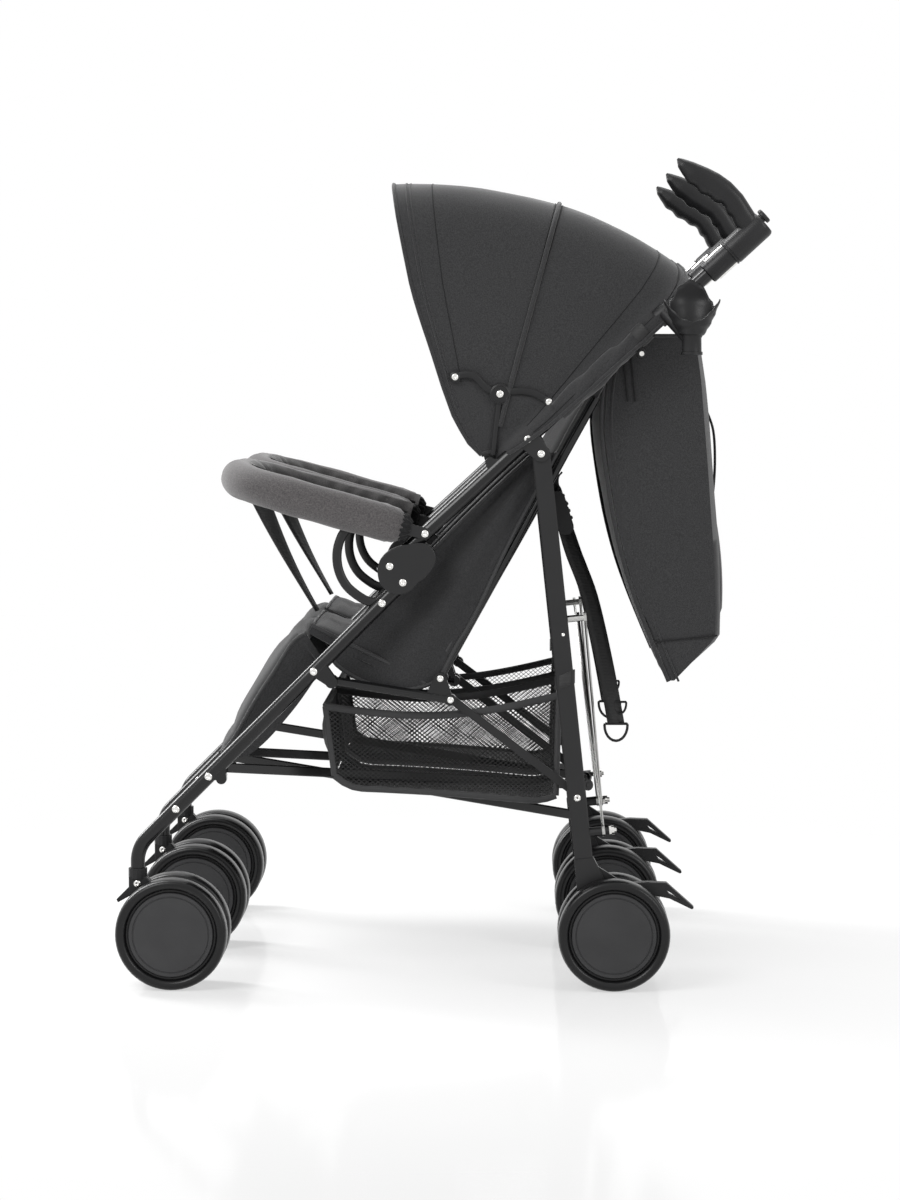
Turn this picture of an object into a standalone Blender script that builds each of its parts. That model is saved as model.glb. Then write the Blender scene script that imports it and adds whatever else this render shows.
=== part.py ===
"""A folding double stroller: three side frames joined by crossed bars, two seats, six twin wheels."""

import math

import bmesh
import bpy
from mathutils import Matrix, Vector

# Driving sizes, in metres and degrees. +X points to the rear, +Z up, and the child faces -X.

# Side frames
FRAME_SPACING = 0.335
TUBE_RADIUS = 0.0095
LEG_ANGLE = 45.0
LEG_HEEL_Z = 0.185
LEG_FOOT_Z = 0.158
LEG_BEND_RADIUS = 0.045
LEG_LENGTH = 0.522
HANDLE_ANGLE = 42.6
HANDLE_OFFSET = 0.0265
HANDLE_OVERLAP = 0.045
HANDLE_REACH = 0.665
JOINT_PLATE_THICKNESS = 0.026
PIN_RADIUS = 0.0035
RIVET_RADIUS = 0.0045
RIVET_HEIGHT = 0.0016

# Wheels and casters
WHEEL_RADIUS = 0.074
TYRE_WIDTH = 0.036
WHEEL_PAIR_GAP = 0.023
RIM_RADIUS = 0.057
AXLE_RADIUS = 0.004
FRONT_AXLE_X = -0.358
CASTER_TRAIL = 0.047
CASTER_TOP_RADIUS = 0.0125
CASTER_PIN_RADIUS = 0.005
CASTER_PIN_LENGTH = 0.026
WEB_THICKNESS = 0.018
REAR_AXLE_X = 0.226
WHEEL_STEPS = 20

# Rear legs
PIVOT_ALONG_HANDLE = 0.2465
PIVOT_BELOW_HANDLE = 0.0258
REAR_LEG_TILT = 6.1
REAR_LEG_LENGTH = 0.573
REAR_LEG_DEPTH = 0.024
REAR_LEG_THICKNESS = 0.014
LINK_PIN_DOWN = 0.457
FOLD_ANGLE = 44.0

# Seat bars and the links behind them
BAR_RADIUS = 0.006
BAR_OFFSET = 0.0205
LINK_OFFSET = 0.0388
LINK_THICKNESS = 0.004
LINK_HALF_WIDTH = 0.0055
BOSS_RADIUS = 0.006
BAR_PIVOT_UP = 0.338
BAR_PIVOT_DROP = 0.0265
SEAT_BAR_LENGTH = 0.159
SEAT_BAR_TILT = 9.1
BACK_PIVOT_BACK = 0.018
BACK_PIVOT_RISE = 0.026
EYE_RADIUS = 0.008
EYE_THICKNESS = 0.010

RECLINE_HUB_RADIUS = 0.007
RECLINE_HUB_START = 0.0264
RECLINE_HUB_END = 0.0360
BACK_TUBE_RADIUS = 0.0055
BACK_TUBE_OFFSET = 0.0315

# Crossed bars
FLOOR_BAR_HEIGHT = 0.013
FLOOR_BAR_THICKNESS = 0.005
FLOOR_PIVOT_OFFSET = 0.048
FLOOR_PIVOT_DOWN = 0.488
FLOOR_PIVOT_BACK = 0.0024
FLOOR_PIN_REACH = 0.0175
FLOOR_STEP = 0.0195
FLOOR_TIP_UP = 0.132
FLOOR_TIP_DROP = 0.0066
FLOOR_TIP_OFFSET = 0.035
FLOOR_PEG_RADIUS = 0.004
FLOOR_PEG_REACH = 0.043
CROSS_WIDTH = 0.013
CROSS_THICKNESS = 0.0035
CROSS_PLANE_GAP = 0.0015
CROSS_STANDOFF = 0.030
CROSS_LOW_DOWN = 0.505
CROSS_RISE = 0.262
CROSS_RISE_STEP = 0.022

# Handle grips
COLLAR_START = 0.5655
BARREL_START = 0.6045
BARREL_END = 0.664
COLLAR_RADIUS = 0.0145
BARREL_RADIUS = 0.018
GRIP_RADIUS = 0.0155
GRIP_CAP_RADIUS = 0.0085
GRIP_CAP_END = 0.676

# Brake pedals
PEDAL_PIVOT = (0.240, 0.132)
PEDAL_LUG_HALF = 0.003

# Seats, backrests, leg rests
SOFT_SIDE_GAP = 0.0290
SEAT_SIDE_GAP = 0.0268
SEAT_THICKNESS = 0.028
SEAT_FRONT = (-0.176, 0.474)
BACK_ANGLE = 61.0
BACK_LENGTH = 0.425
BACK_THICKNESS = 0.030
BACK_WING_DEPTH = 0.115
WING_THICKNESS = 0.005
CALF_LENGTH = 0.176
CALF_ANGLE = 55.0
CALF_THICKNESS = 0.024

# Canopies
CANOPY_PIVOT = (0.062, 0.696)
CANOPY_FRONT_ANGLE = 109.0
CANOPY_REAR_ANGLE = 46.5
CANOPY_FRONT_RADIUS = 0.388
CANOPY_MID_RADIUS = 0.350
CANOPY_REAR_RADIUS = 0.359
CANOPY_CORNER = 0.070
CANOPY_CLOTH = 0.003
CANOPY_INNER_RADIUS = 0.034
CANOPY_SIDE = 0.0070
MID_BOW_ANGLE = 75.0
FRONT_BOW_DROP = 0.0114
MID_BOW_DROP = 0.0052
CANOPY_CLIP_ALONG = 0.1916
BOW_WIDTH = 0.012
BOW_THICKNESS = 0.004

# Bumper bars
BUMPER_PIVOT_ALONG = 0.0631
BUMPER_RADIUS = 0.0245
BUMPER_ANGLE = 15.4
BUMPER_REACH = 0.262
BUMPER_CORNER = 0.105
BUMPER_LUG = 0.003
CROTCH_WIDTH = 0.030
CROTCH_THICKNESS = 0.003

# Basket
BASKET_FRONT_X = -0.150
BASKET_REAR_X = 0.147
BASKET_TOP_FRONT_Z = 0.372
BASKET_TOP_REAR_Z = 0.372
BASKET_FLOOR_FRONT_Z = 0.290
BASKET_FLOOR_REAR_Z = 0.250
BASKET_WALL = 0.003
BASKET_SIDE_GAP = 0.0411

# Storage bag, cup holder, recline straps
BAG_HALF_WIDTH = 0.300
BAG_TOP_Z = 0.864
BAG_WALL = 0.008
CUP_RADIUS = 0.034
CUP_WALL = 0.002
CUP_STEPS = 16
CUP_TOP_Z = 0.924
CUP_HEIGHT = 0.062
CUP_STEM_RADIUS = 0.014
CUP_STEM_LENGTH = 0.026
CUP_ALONG_HANDLE = 0.520
STRAP_WIDTH = 0.024
STRAP_THICKNESS = 0.002
RING_RADIUS = 0.016
RING_WIRE = 0.002

# Clearances
FIT_GAP = 0.0003
RUN_GAP = 0.0005

# Colours: linear RGB, roughness, metallic
FINISHES = {
    "painted_tube": ((0.012, 0.012, 0.013), 0.28, 0.0),
    "black_plastic": ((0.014, 0.014, 0.015), 0.45, 0.0),
    "rubber": ((0.010, 0.010, 0.010), 0.38, 0.0),
    "steel": ((0.60, 0.60, 0.58), 0.30, 1.0),
    "fabric": ((0.030, 0.030, 0.032), 0.90, 0.0),
    "sleeve": ((0.055, 0.052, 0.053), 0.95, 0.0),
    "mesh": ((0.012, 0.012, 0.012), 0.80, 0.0),
    "webbing": ((0.016, 0.016, 0.016), 0.75, 0.0),
}

SIDES = ("left", "mid", "right")
BAYS = (("left", "left", "mid"), ("right", "right", "mid"))

# Places worked out from the sizes

WHEEL_REACH = WHEEL_PAIR_GAP / 2 + TYRE_WIDTH
CUP_OFFSET = TUBE_RADIUS + CUP_RADIUS + 0.0035
MID_Y = (CUP_OFFSET + CUP_RADIUS - WHEEL_REACH) / 2
FRAME_Y = {"left": MID_Y - FRAME_SPACING, "mid": MID_Y, "right": MID_Y + FRAME_SPACING}
INWARD = {"left": 1.0, "mid": 1.0, "right": -1.0}
SWIVEL_X = FRONT_AXLE_X - CASTER_TRAIL


def polar(angle, length=1.0):
    """A vector in the side plane, with its angle counted from +X towards +Z."""
    turn = math.radians(angle)
    return Vector((length * math.cos(turn), length * math.sin(turn)))


def along(origin, angle, run, rise=0.0):
    """The side-plane point at run along a direction and rise to its left."""
    return origin + polar(angle, run) + polar(angle + 90.0, rise)


HEEL = Vector((SWIVEL_X, LEG_HEEL_Z))
LEG_TOP = along(HEEL, LEG_ANGLE, LEG_LENGTH)
HANDLE_START = along(LEG_TOP, LEG_ANGLE, -HANDLE_OVERLAP + 0.0245, HANDLE_OFFSET + 0.001)
REAR_PIVOT = along(HANDLE_START, HANDLE_ANGLE, PIVOT_ALONG_HANDLE, -PIVOT_BELOW_HANDLE)
REAR_LEG_DOWN = REAR_LEG_TILT - 90.0
BUMPER_PIVOT = along(HANDLE_START, HANDLE_ANGLE, BUMPER_PIVOT_ALONG)
BAR_PIVOT = along(HEEL, LEG_ANGLE, BAR_PIVOT_UP, -BAR_PIVOT_DROP)
BAR_END = along(BAR_PIVOT, -SEAT_BAR_TILT, SEAT_BAR_LENGTH)
BACK_PIVOT = along(BAR_END, -SEAT_BAR_TILT, -BACK_PIVOT_BACK, BACK_PIVOT_RISE)
LINK_PIN = along(REAR_PIVOT, REAR_LEG_DOWN, LINK_PIN_DOWN)
FLOOR_FRONT_LOW = along(HEEL, LEG_ANGLE, FLOOR_TIP_UP, -FLOOR_TIP_DROP)
FLOOR_FRONT_HIGH = along(FLOOR_FRONT_LOW, LEG_ANGLE, FLOOR_STEP)
FLOOR_REAR_LOW = along(REAR_PIVOT, REAR_LEG_DOWN, FLOOR_PIVOT_DOWN, FLOOR_PIVOT_BACK)
FLOOR_REAR_HIGH = along(FLOOR_REAR_LOW, LEG_ANGLE, FLOOR_STEP)
REAR_AXLE = Vector((REAR_AXLE_X, WHEEL_RADIUS))
FRONT_AXLE = Vector((FRONT_AXLE_X, WHEEL_RADIUS))


def spot(point, y):
    """A side-plane point set at a place across the stroller."""
    return Vector((point[0], y, point[1]))


# Scene, materials and modelling helpers


def clear_scene():
    for obj in list(bpy.data.objects):
        bpy.data.objects.remove(obj, do_unlink=True)


def make_collection(name, hidden=False):
    collection = bpy.data.collections.new(name)
    bpy.context.scene.collection.children.link(collection)
    collection.hide_render = hidden
    return collection


clear_scene()
PARTS = make_collection("double_stroller")
CUTTERS = make_collection("cutters", hidden=True)


def finish_material(node, finish):
    color, roughness, metallic = FINISHES[finish]
    material = bpy.data.materials.new(node + "_" + finish)
    material.use_nodes = True
    shader = material.node_tree.nodes["Principled BSDF"]
    shader.inputs["Base Color"].default_value = (*color, 1.0)
    shader.inputs["Roughness"].default_value = roughness
    shader.inputs["Metallic"].default_value = metallic
    return material


def add_object(name, data):
    obj = bpy.data.objects.new(name, data)
    PARTS.objects.link(obj)
    return obj


def from_bmesh(shape, name="piece"):
    mesh = bpy.data.meshes.new(name)
    bmesh.ops.recalc_face_normals(shape, faces=shape.faces)
    shape.to_mesh(mesh)
    shape.free()
    return add_object(name, mesh)


def to_mesh_object(obj, weld=0.00001):
    """The evaluated object as a plain closed mesh, with the original removed."""
    bpy.context.view_layer.update()
    graph = bpy.context.evaluated_depsgraph_get()
    mesh = bpy.data.meshes.new_from_object(obj.evaluated_get(graph))
    mesh.transform(obj.matrix_world)
    shape = bmesh.new()
    shape.from_mesh(mesh)
    bmesh.ops.remove_doubles(shape, verts=shape.verts, dist=weld)
    bmesh.ops.recalc_face_normals(shape, faces=shape.faces)
    shape.to_mesh(mesh)
    shape.free()
    name = obj.name
    bpy.data.objects.remove(obj, do_unlink=True)
    return add_object(name, mesh)


def box(low, high):
    shape = bmesh.new()
    bmesh.ops.create_cube(shape, size=1.0)
    low = Vector(low)
    high = Vector(high)
    bmesh.ops.scale(shape, verts=shape.verts, vec=high - low)
    bmesh.ops.translate(shape, verts=shape.verts, vec=(low + high) / 2)
    return from_bmesh(shape)


def rod(start, end, radius, sides=10, end_radius=None):
    """A round bar or a cone between two points."""
    start = Vector(start)
    end = Vector(end)
    shape = bmesh.new()
    bmesh.ops.create_cone(
        shape,
        cap_ends=True,
        segments=sides,
        radius1=radius,
        radius2=radius if end_radius is None else end_radius,
        depth=(end - start).length,
    )
    turn = Vector((0, 0, 1)).rotation_difference(end - start).to_matrix().to_4x4()
    place = Matrix.Translation((start + end) / 2) @ turn
    bmesh.ops.transform(shape, matrix=place, verts=shape.verts)
    return from_bmesh(shape)


def ball(centre, radius, scale=(1, 1, 1), rings=6, sides=10):
    shape = bmesh.new()
    bmesh.ops.create_uvsphere(shape, u_segments=sides, v_segments=rings, radius=radius)
    bmesh.ops.scale(shape, verts=shape.verts, vec=scale)
    bmesh.ops.translate(shape, verts=shape.verts, vec=centre)
    return from_bmesh(shape)


def tube(points, radius, resolution=2, taper=None):
    """A round bar along a list of points, closed at both ends."""
    curve = bpy.data.curves.new("tube", "CURVE")
    curve.dimensions = "3D"
    curve.bevel_depth = radius
    curve.bevel_resolution = resolution
    curve.use_fill_caps = True
    spline = curve.splines.new("POLY")
    spline.points.add(len(points) - 1)
    for index, point in enumerate(points):
        spline.points[index].co = (*point, 1.0)
        spline.points[index].radius = taper[index] if taper else 1.0
    return to_mesh_object(add_object("tube", curve))


def plate(outline, y_low, y_high):
    """A flat outline in the side plane, as thick as the two y values say."""
    curve = bpy.data.curves.new("plate", "CURVE")
    curve.dimensions = "2D"
    curve.fill_mode = "BOTH"
    curve.extrude = (y_high - y_low) / 2
    spline = curve.splines.new("POLY")
    spline.points.add(len(outline) - 1)
    for index, point in enumerate(outline):
        spline.points[index].co = (point[0], point[1], 0.0, 1.0)
    spline.use_cyclic_u = True
    obj = add_object("plate", curve)
    obj.rotation_euler = (math.pi / 2, 0, 0)
    obj.location = (0, (y_low + y_high) / 2, 0)
    return to_mesh_object(obj)


def soften(obj, width, segments=1, angle=40.0):
    """Bevels the sharp edges of a mesh piece."""
    bevel = obj.modifiers.new("soften", "BEVEL")
    bevel.width = width
    bevel.segments = segments
    bevel.limit_method = "ANGLE"
    bevel.angle_limit = math.radians(angle)
    return to_mesh_object(obj)


def boolean(obj, other, operation):
    modifier = obj.modifiers.new(operation.lower(), "BOOLEAN")
    modifier.operation = operation
    modifier.object = other
    result = to_mesh_object(obj)
    bpy.data.objects.remove(other, do_unlink=True)
    return result


def join(*pieces):
    whole = pieces[0]
    for piece in pieces[1:]:
        whole = boolean(whole, piece, "UNION")
    return whole


def cut(obj, *cutters):
    for cutter in cutters:
        obj = boolean(obj, cutter, "DIFFERENCE")
    return obj


def place_origin(obj, point):
    obj.data.transform(Matrix.Translation(-Vector(point)))
    obj.location = point


def finish_node(obj, name, finish, origin=None, smooth=True):
    """Names a finished piece, gives it its material and its origin."""
    obj.name = name
    obj.data.name = name
    if smooth:
        obj.data.shade_smooth()
        obj.data.set_sharp_from_angle(angle=math.radians(38))
    obj.data.materials.clear()
    obj.data.materials.append(finish_material(name, finish))
    if origin is not None:
        place_origin(obj, origin)
    return obj


def arc_points(centre, radius, start, end, steps):
    """Side-plane points along a round stretch."""
    count = range(steps + 1)
    return [Vector(centre) + polar(start + (end - start) * i / steps, radius) for i in count]


def bent_path(first, corner, last, radius, steps=6):
    """Side-plane points of two straight runs with a round bend between them."""
    back = (first - corner).normalized()
    on = (last - corner).normalized()
    half = back.angle(on) / 2
    cut_back = radius / math.tan(half)
    middle = (back + on).normalized()
    centre = corner + middle * (radius / math.sin(half))
    start = corner + back * cut_back - centre
    end = corner + on * cut_back - centre
    turn = start.angle_signed(end)
    bend = [centre + Matrix.Rotation(-turn * i / steps, 2) @ start for i in range(steps + 1)]
    return [first, *bend, last]


def strip(start, end, radius, y_low, y_high):
    """A flat bar with round ends between two side-plane points."""
    run = end - start
    angle = math.degrees(math.atan2(run[1], run[0]))
    outline = [
        *arc_points(end, radius, angle - 90.0, angle + 90.0, 6),
        *arc_points(start, radius, angle + 90.0, angle + 270.0, 6),
    ]
    return plate(outline, y_low, y_high)


def crosswise_rod(point, y_start, y_end, radius, sides=10):
    return rod(spot(point, y_start), spot(point, y_end), radius, sides)


# Side frames


def inboard(side, offset):
    """The place across the stroller at an offset towards the seats from a frame."""
    return FRAME_Y[side] + INWARD[side] * offset


def inner_sides(side):
    """The directions from a frame to the seats beside it."""
    return (-1.0, 1.0) if side == "mid" else (INWARD[side],)


def make_front_leg(side):
    y = FRAME_Y[side]
    foot = Vector((SWIVEL_X, LEG_FOOT_Z))
    path = bent_path(foot, HEEL, LEG_TOP, LEG_BEND_RADIUS, 5)
    leg = tube([spot(p, y) for p in path], TUBE_RADIUS, 2)
    lug_tip = BAR_PIVOT
    lug = plate(
        [
            along(HEEL, LEG_ANGLE, BAR_PIVOT_UP + 0.012, -0.003),
            along(HEEL, LEG_ANGLE, BAR_PIVOT_UP - 0.012, -0.003),
            *arc_points(lug_tip, EYE_RADIUS, 205.0, 385.0, 6),
        ],
        y - TUBE_RADIUS * 0.8,
        y + TUBE_RADIUS * 0.8,
    )
    pieces = [leg, lug]
    bar_far = BAR_OFFSET + BAR_RADIUS + 0.001
    if side != "mid":
        pieces.append(
            crosswise_rod(lug_tip, y, inboard(side, bar_far), PIN_RADIUS)
        )
    tip = FLOOR_FRONT_LOW if side == "mid" else FLOOR_FRONT_HIGH
    peg = tip - Vector((0.0, FLOOR_BAR_HEIGHT / 2 + FLOOR_PEG_RADIUS + RUN_GAP))
    peg_up = FLOOR_TIP_UP if side == "mid" else FLOOR_TIP_UP + FLOOR_STEP
    pieces.append(
        plate(
            [
                along(HEEL, LEG_ANGLE, peg_up + 0.010, -0.004),
                along(HEEL, LEG_ANGLE, peg_up - 0.018, -0.004),
                *arc_points(peg, EYE_RADIUS - 0.001, 195.0, 375.0, 5),
            ],
            y - TUBE_RADIUS * 0.7,
            y + TUBE_RADIUS * 0.7,
        )
    )
    for way in inner_sides(side):
        pieces.append(crosswise_rod(peg, y, y + way * FLOOR_PEG_REACH, FLOOR_PEG_RADIUS, 10))
    guard_path = [
        along(HEEL, LEG_ANGLE, 0.4597),
        Vector((-0.1000, 0.5125)),
        Vector((-0.1292, 0.5363)),
        Vector((-0.1424, 0.5574)),
        Vector((-0.1476, 0.5785)),
        Vector((-0.1383, 0.5940)),
    ]
    pieces.append(tube([spot(p, y) for p in guard_path], 0.0045, 2))
    outer = -INWARD[side]
    for run in (0.073, 0.1345, 0.3317, 0.4597):
        rivet = along(HEEL, LEG_ANGLE, run)
        pieces.append(
            crosswise_rod(
                rivet,
                y + outer * TUBE_RADIUS * 0.5,
                y + outer * (TUBE_RADIUS + RIVET_HEIGHT),
                RIVET_RADIUS,
                8,
            )
        )
    whole = join(*pieces)
    socket = rod(
        (SWIVEL_X, y, LEG_FOOT_Z - 0.01),
        (SWIVEL_X, y, LEG_FOOT_Z + CASTER_PIN_LENGTH + FIT_GAP),
        CASTER_PIN_RADIUS + FIT_GAP,
    )
    cutters = [socket]
    if side == "mid":
        hole_reach = TUBE_RADIUS * 2
        cutters.append(
            crosswise_rod(lug_tip, y - hole_reach, y + hole_reach, PIN_RADIUS + FIT_GAP)
        )
    whole = cut(whole, *cutters)
    return finish_node(whole, "front_leg_" + side, "painted_tube")


def joint_plate_outline():
    corners = (
        (-0.052, -0.014),
        (0.004, -0.014),
        (0.012, -0.006),
        (0.020, 0.010),
        (0.022, 0.0405),
        (-0.036, 0.0425),
        (-0.054, 0.022),
    )
    return [along(LEG_TOP, LEG_ANGLE, run, rise) for run, rise in corners]


def make_handle_tube(side):
    y = FRAME_Y[side]
    start = along(HANDLE_START, HANDLE_ANGLE, -0.018)
    end = along(HANDLE_START, HANDLE_ANGLE, HANDLE_REACH - 0.02)
    pole = rod(spot(start, y), spot(end, y), TUBE_RADIUS, 12)
    half = JOINT_PLATE_THICKNESS / 2
    joint_plate = soften(plate(joint_plate_outline(), y - half, y + half), 0.003)
    bracket_along = PIVOT_ALONG_HANDLE
    leg_half = REAR_LEG_THICKNESS / 2
    cheek_near = leg_half + FIT_GAP
    cheek_far = cheek_near + 0.003
    bracket_outline = [
        along(HANDLE_START, HANDLE_ANGLE, bracket_along + 0.014, 0.004),
        along(HANDLE_START, HANDLE_ANGLE, bracket_along - 0.014, 0.004),
        along(HANDLE_START, HANDLE_ANGLE, bracket_along - 0.012, -0.020),
        *arc_points(REAR_PIVOT, 0.011, 215.0, 385.0, 6),
        along(HANDLE_START, HANDLE_ANGLE, bracket_along + 0.014, -0.014),
    ]
    cheeks = plate(bracket_outline, y - cheek_far, y + cheek_far)
    slot = crosswise_rod(REAR_PIVOT, y - cheek_near, y + cheek_near, 0.0148, 20)
    folded_down = REAR_LEG_DOWN - FOLD_ANGLE
    swing = plate(
        [
            along(REAR_PIVOT, REAR_LEG_DOWN, 0.0, 0.0130),
            along(REAR_PIVOT, folded_down, 0.0, -0.0130),
            along(REAR_PIVOT, folded_down, 0.040, -0.0130),
            along(REAR_PIVOT, REAR_LEG_DOWN, 0.040, 0.0130),
        ],
        y - cheek_near,
        y + cheek_near,
    )
    cheeks = cut(cheeks, slot, swing)
    pivot_pin = crosswise_rod(REAR_PIVOT, y - cheek_far + 0.001, y + cheek_far - 0.001, PIN_RADIUS)
    pieces = [pole, joint_plate, cheeks, pivot_pin]
    clip_outline = [
        along(HANDLE_START, HANDLE_ANGLE, CANOPY_CLIP_ALONG + 0.012, 0.004),
        *arc_points(CANOPY_PIVOT, 0.0065, HANDLE_ANGLE, HANDLE_ANGLE + 180.0, 5),
        along(HANDLE_START, HANDLE_ANGLE, CANOPY_CLIP_ALONG - 0.012, 0.004),
    ]
    pieces.append(plate(clip_outline, y - 0.0065, y + 0.0065))
    outer = -INWARD[side]
    rivets = (
        (along(LEG_TOP, LEG_ANGLE, -0.0235), half),
        (along(HANDLE_START, HANDLE_ANGLE, 0.0), half),
        (along(HANDLE_START, HANDLE_ANGLE, bracket_along), cheek_far),
        (REAR_PIVOT, cheek_far),
    )
    for point, face in rivets:
        face_y = y + outer * face
        pieces.append(
            crosswise_rod(
                point, face_y - outer * 0.002, face_y + outer * RIVET_HEIGHT, RIVET_RADIUS, 8
            )
        )
    for way in (-1.0, 1.0) if side == "mid" else (outer,):
        lug_near = TUBE_RADIUS + FIT_GAP
        pieces.append(
            crosswise_rod(
                BUMPER_PIVOT,
                y,
                y + way * (lug_near + BUMPER_LUG + FIT_GAP + RIVET_HEIGHT),
                PIN_RADIUS,
            )
        )
    for way in inner_sides(side):
        pin_tip = CANOPY_SIDE + CANOPY_CLOTH + 2 * BOW_THICKNESS + 0.002
        pieces.append(crosswise_rod(CANOPY_PIVOT, y, y + way * pin_tip, PIN_RADIUS))
    whole = join(*pieces)
    bore = rod(
        spot(along(LEG_TOP, LEG_ANGLE, -0.08), y),
        spot(along(LEG_TOP, LEG_ANGLE, FIT_GAP), y),
        TUBE_RADIUS + FIT_GAP,
        14,
    )
    whole = cut(whole, bore)
    return finish_node(whole, "handle_tube_" + side, "painted_tube")


def rear_point(down, back=0.0):
    """A side-plane point given down the rear leg and behind its centre line."""
    return along(REAR_PIVOT, REAR_LEG_DOWN, down, back)


def make_rear_leg(side):
    y = FRAME_Y[side]
    half_depth = REAR_LEG_DEPTH / 2
    half = REAR_LEG_THICKNESS / 2
    outline = [
        *arc_points(REAR_PIVOT, half_depth, REAR_LEG_DOWN + 90.0, REAR_LEG_DOWN + 270.0, 6),
        rear_point(REAR_LEG_LENGTH, -half_depth),
        rear_point(REAR_LEG_LENGTH, half_depth),
    ]
    leg = soften(plate(outline, y - half, y + half), 0.004)
    web_half = WEB_THICKNESS / 2
    pedal_pivot = Vector(PEDAL_PIVOT)
    foot_outline = [
        rear_point(REAR_LEG_LENGTH - 0.035, -half_depth - 0.001),
        rear_point(REAR_LEG_LENGTH + 0.012, -half_depth - 0.001),
        *arc_points(REAR_AXLE, 0.012, 190.0, 350.0, 6),
        Vector((REAR_AXLE_X + 0.004, WHEEL_RADIUS + 0.030)),
        rear_point(REAR_LEG_LENGTH - 0.012, half_depth + 0.010),
        rear_point(REAR_LEG_LENGTH - 0.035, half_depth + 0.001),
    ]
    foot = plate(foot_outline, y - web_half, y + web_half)
    lug = plate(
        [
            rear_point(REAR_LEG_LENGTH - 0.030, half_depth - 0.004),
            rear_point(REAR_LEG_LENGTH - 0.002, half_depth + 0.002),
            *arc_points(pedal_pivot, 0.006, 250.0, 430.0, 5),
        ],
        y - PEDAL_LUG_HALF,
        y + PEDAL_LUG_HALF,
    )
    pieces = [leg, foot, lug]
    pieces.append(crosswise_rod(pedal_pivot, y - web_half, y + web_half, 0.0028))
    pin_side = INWARD[side]
    link_near = LINK_OFFSET - LINK_THICKNESS / 2 - FIT_GAP
    link_far = LINK_OFFSET + LINK_THICKNESS / 2 + FIT_GAP
    pieces.append(crosswise_rod(LINK_PIN, y, y + pin_side * link_near, BOSS_RADIUS))
    pieces.append(crosswise_rod(LINK_PIN, y, y + pin_side * link_far, PIN_RADIUS))
    for way in inner_sides(side):
        start, _, _, normal = floor_bar_frame(side, way)
        face = start - normal * (FLOOR_BAR_THICKNESS / 2 + RUN_GAP)
        foot = start - normal * FLOOR_PIN_REACH
        pin_end = start + normal * (FLOOR_BAR_THICKNESS / 2 + 0.001)
        foot_point = Vector((foot[0], foot[2]))
        pieces.append(crosswise_rod(foot_point, y, foot[1] + way * 0.002, BOSS_RADIUS))
        pieces.append(rod(foot, face, BOSS_RADIUS))
        pieces.append(rod(foot, pin_end, PIN_RADIUS))
    boss_end = CROSS_STANDOFF - CROSS_THICKNESS / 2 - FIT_GAP
    cross_pin_end = CROSS_STANDOFF + 1.5 * CROSS_THICKNESS + CROSS_PLANE_GAP + 0.003
    low = CROSS_LOW_DOWN
    pieces.append(
        rod(spot(rear_point(low), y), spot(rear_point(low, boss_end), y), 0.0065, 10)
    )
    pieces.append(
        rod(spot(rear_point(low), y), spot(rear_point(low, cross_pin_end), y), PIN_RADIUS, 10)
    )
    outer = -INWARD[side]
    pieces.append(
        crosswise_rod(
            LINK_PIN, y + outer * (half - 0.002), y + outer * (half + RIVET_HEIGHT), RIVET_RADIUS, 8
        )
    )
    whole = join(*pieces)
    whole = cut(
        whole,
        crosswise_rod(REAR_PIVOT, y - 0.02, y + 0.02, PIN_RADIUS + FIT_GAP),
        crosswise_rod(REAR_AXLE, y - 0.02, y + 0.02, AXLE_RADIUS + FIT_GAP),
    )
    return finish_node(whole, "rear_leg_" + side, "painted_tube", spot(REAR_PIVOT, y))


def eye(point, y):
    half = EYE_THICKNESS / 2
    return crosswise_rod(point, y - half, y + half, EYE_RADIUS, 12)


def eye_hole(point, y):
    return crosswise_rod(point, y - EYE_THICKNESS, y + EYE_THICKNESS, PIN_RADIUS + FIT_GAP)


def make_seat_bar(side):
    y = FRAME_Y[side]
    pieces = []
    holes = []
    for way in inner_sides(side):
        bar_y = y + way * BAR_OFFSET
        pieces.append(
            rod(spot(BAR_PIVOT, bar_y), spot(BAR_END, bar_y), BAR_RADIUS, 12)
        )
        pieces.append(eye(BAR_PIVOT, bar_y))
        pieces.append(eye(BAR_END, bar_y))
        plate_outline = [
            along(BAR_END, -SEAT_BAR_TILT, 0.004, 0.0),
            *arc_points(BACK_PIVOT, EYE_RADIUS, 10.0, 170.0, 5),
            along(BAR_END, -SEAT_BAR_TILT, -0.034, 0.0),
        ]
        pieces.append(plate(plate_outline, bar_y - 0.003, bar_y + 0.003))
        pin_tip = y + way * RECLINE_HUB_END
        pin_size = PIN_RADIUS if side == "mid" else RECLINE_HUB_RADIUS
        pieces.append(crosswise_rod(BACK_PIVOT, bar_y, pin_tip, pin_size))
        if side != "mid":
            holes.append(eye_hole(BAR_PIVOT, bar_y))
        if way == INWARD[side]:
            boss_tip = y + way * (LINK_OFFSET - LINK_THICKNESS / 2 - FIT_GAP)
            pieces.append(crosswise_rod(BAR_END, bar_y, boss_tip, BOSS_RADIUS))
    if side == "mid":
        pieces.append(crosswise_rod(BAR_PIVOT, y - BAR_OFFSET, y + BAR_OFFSET, PIN_RADIUS))
        whole = join(pieces[-1], *pieces[:-1])
    else:
        whole = cut(join(*pieces), *holes)
    return finish_node(whole, "seat_bar_" + side, "painted_tube", spot(BAR_PIVOT, y))


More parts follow.
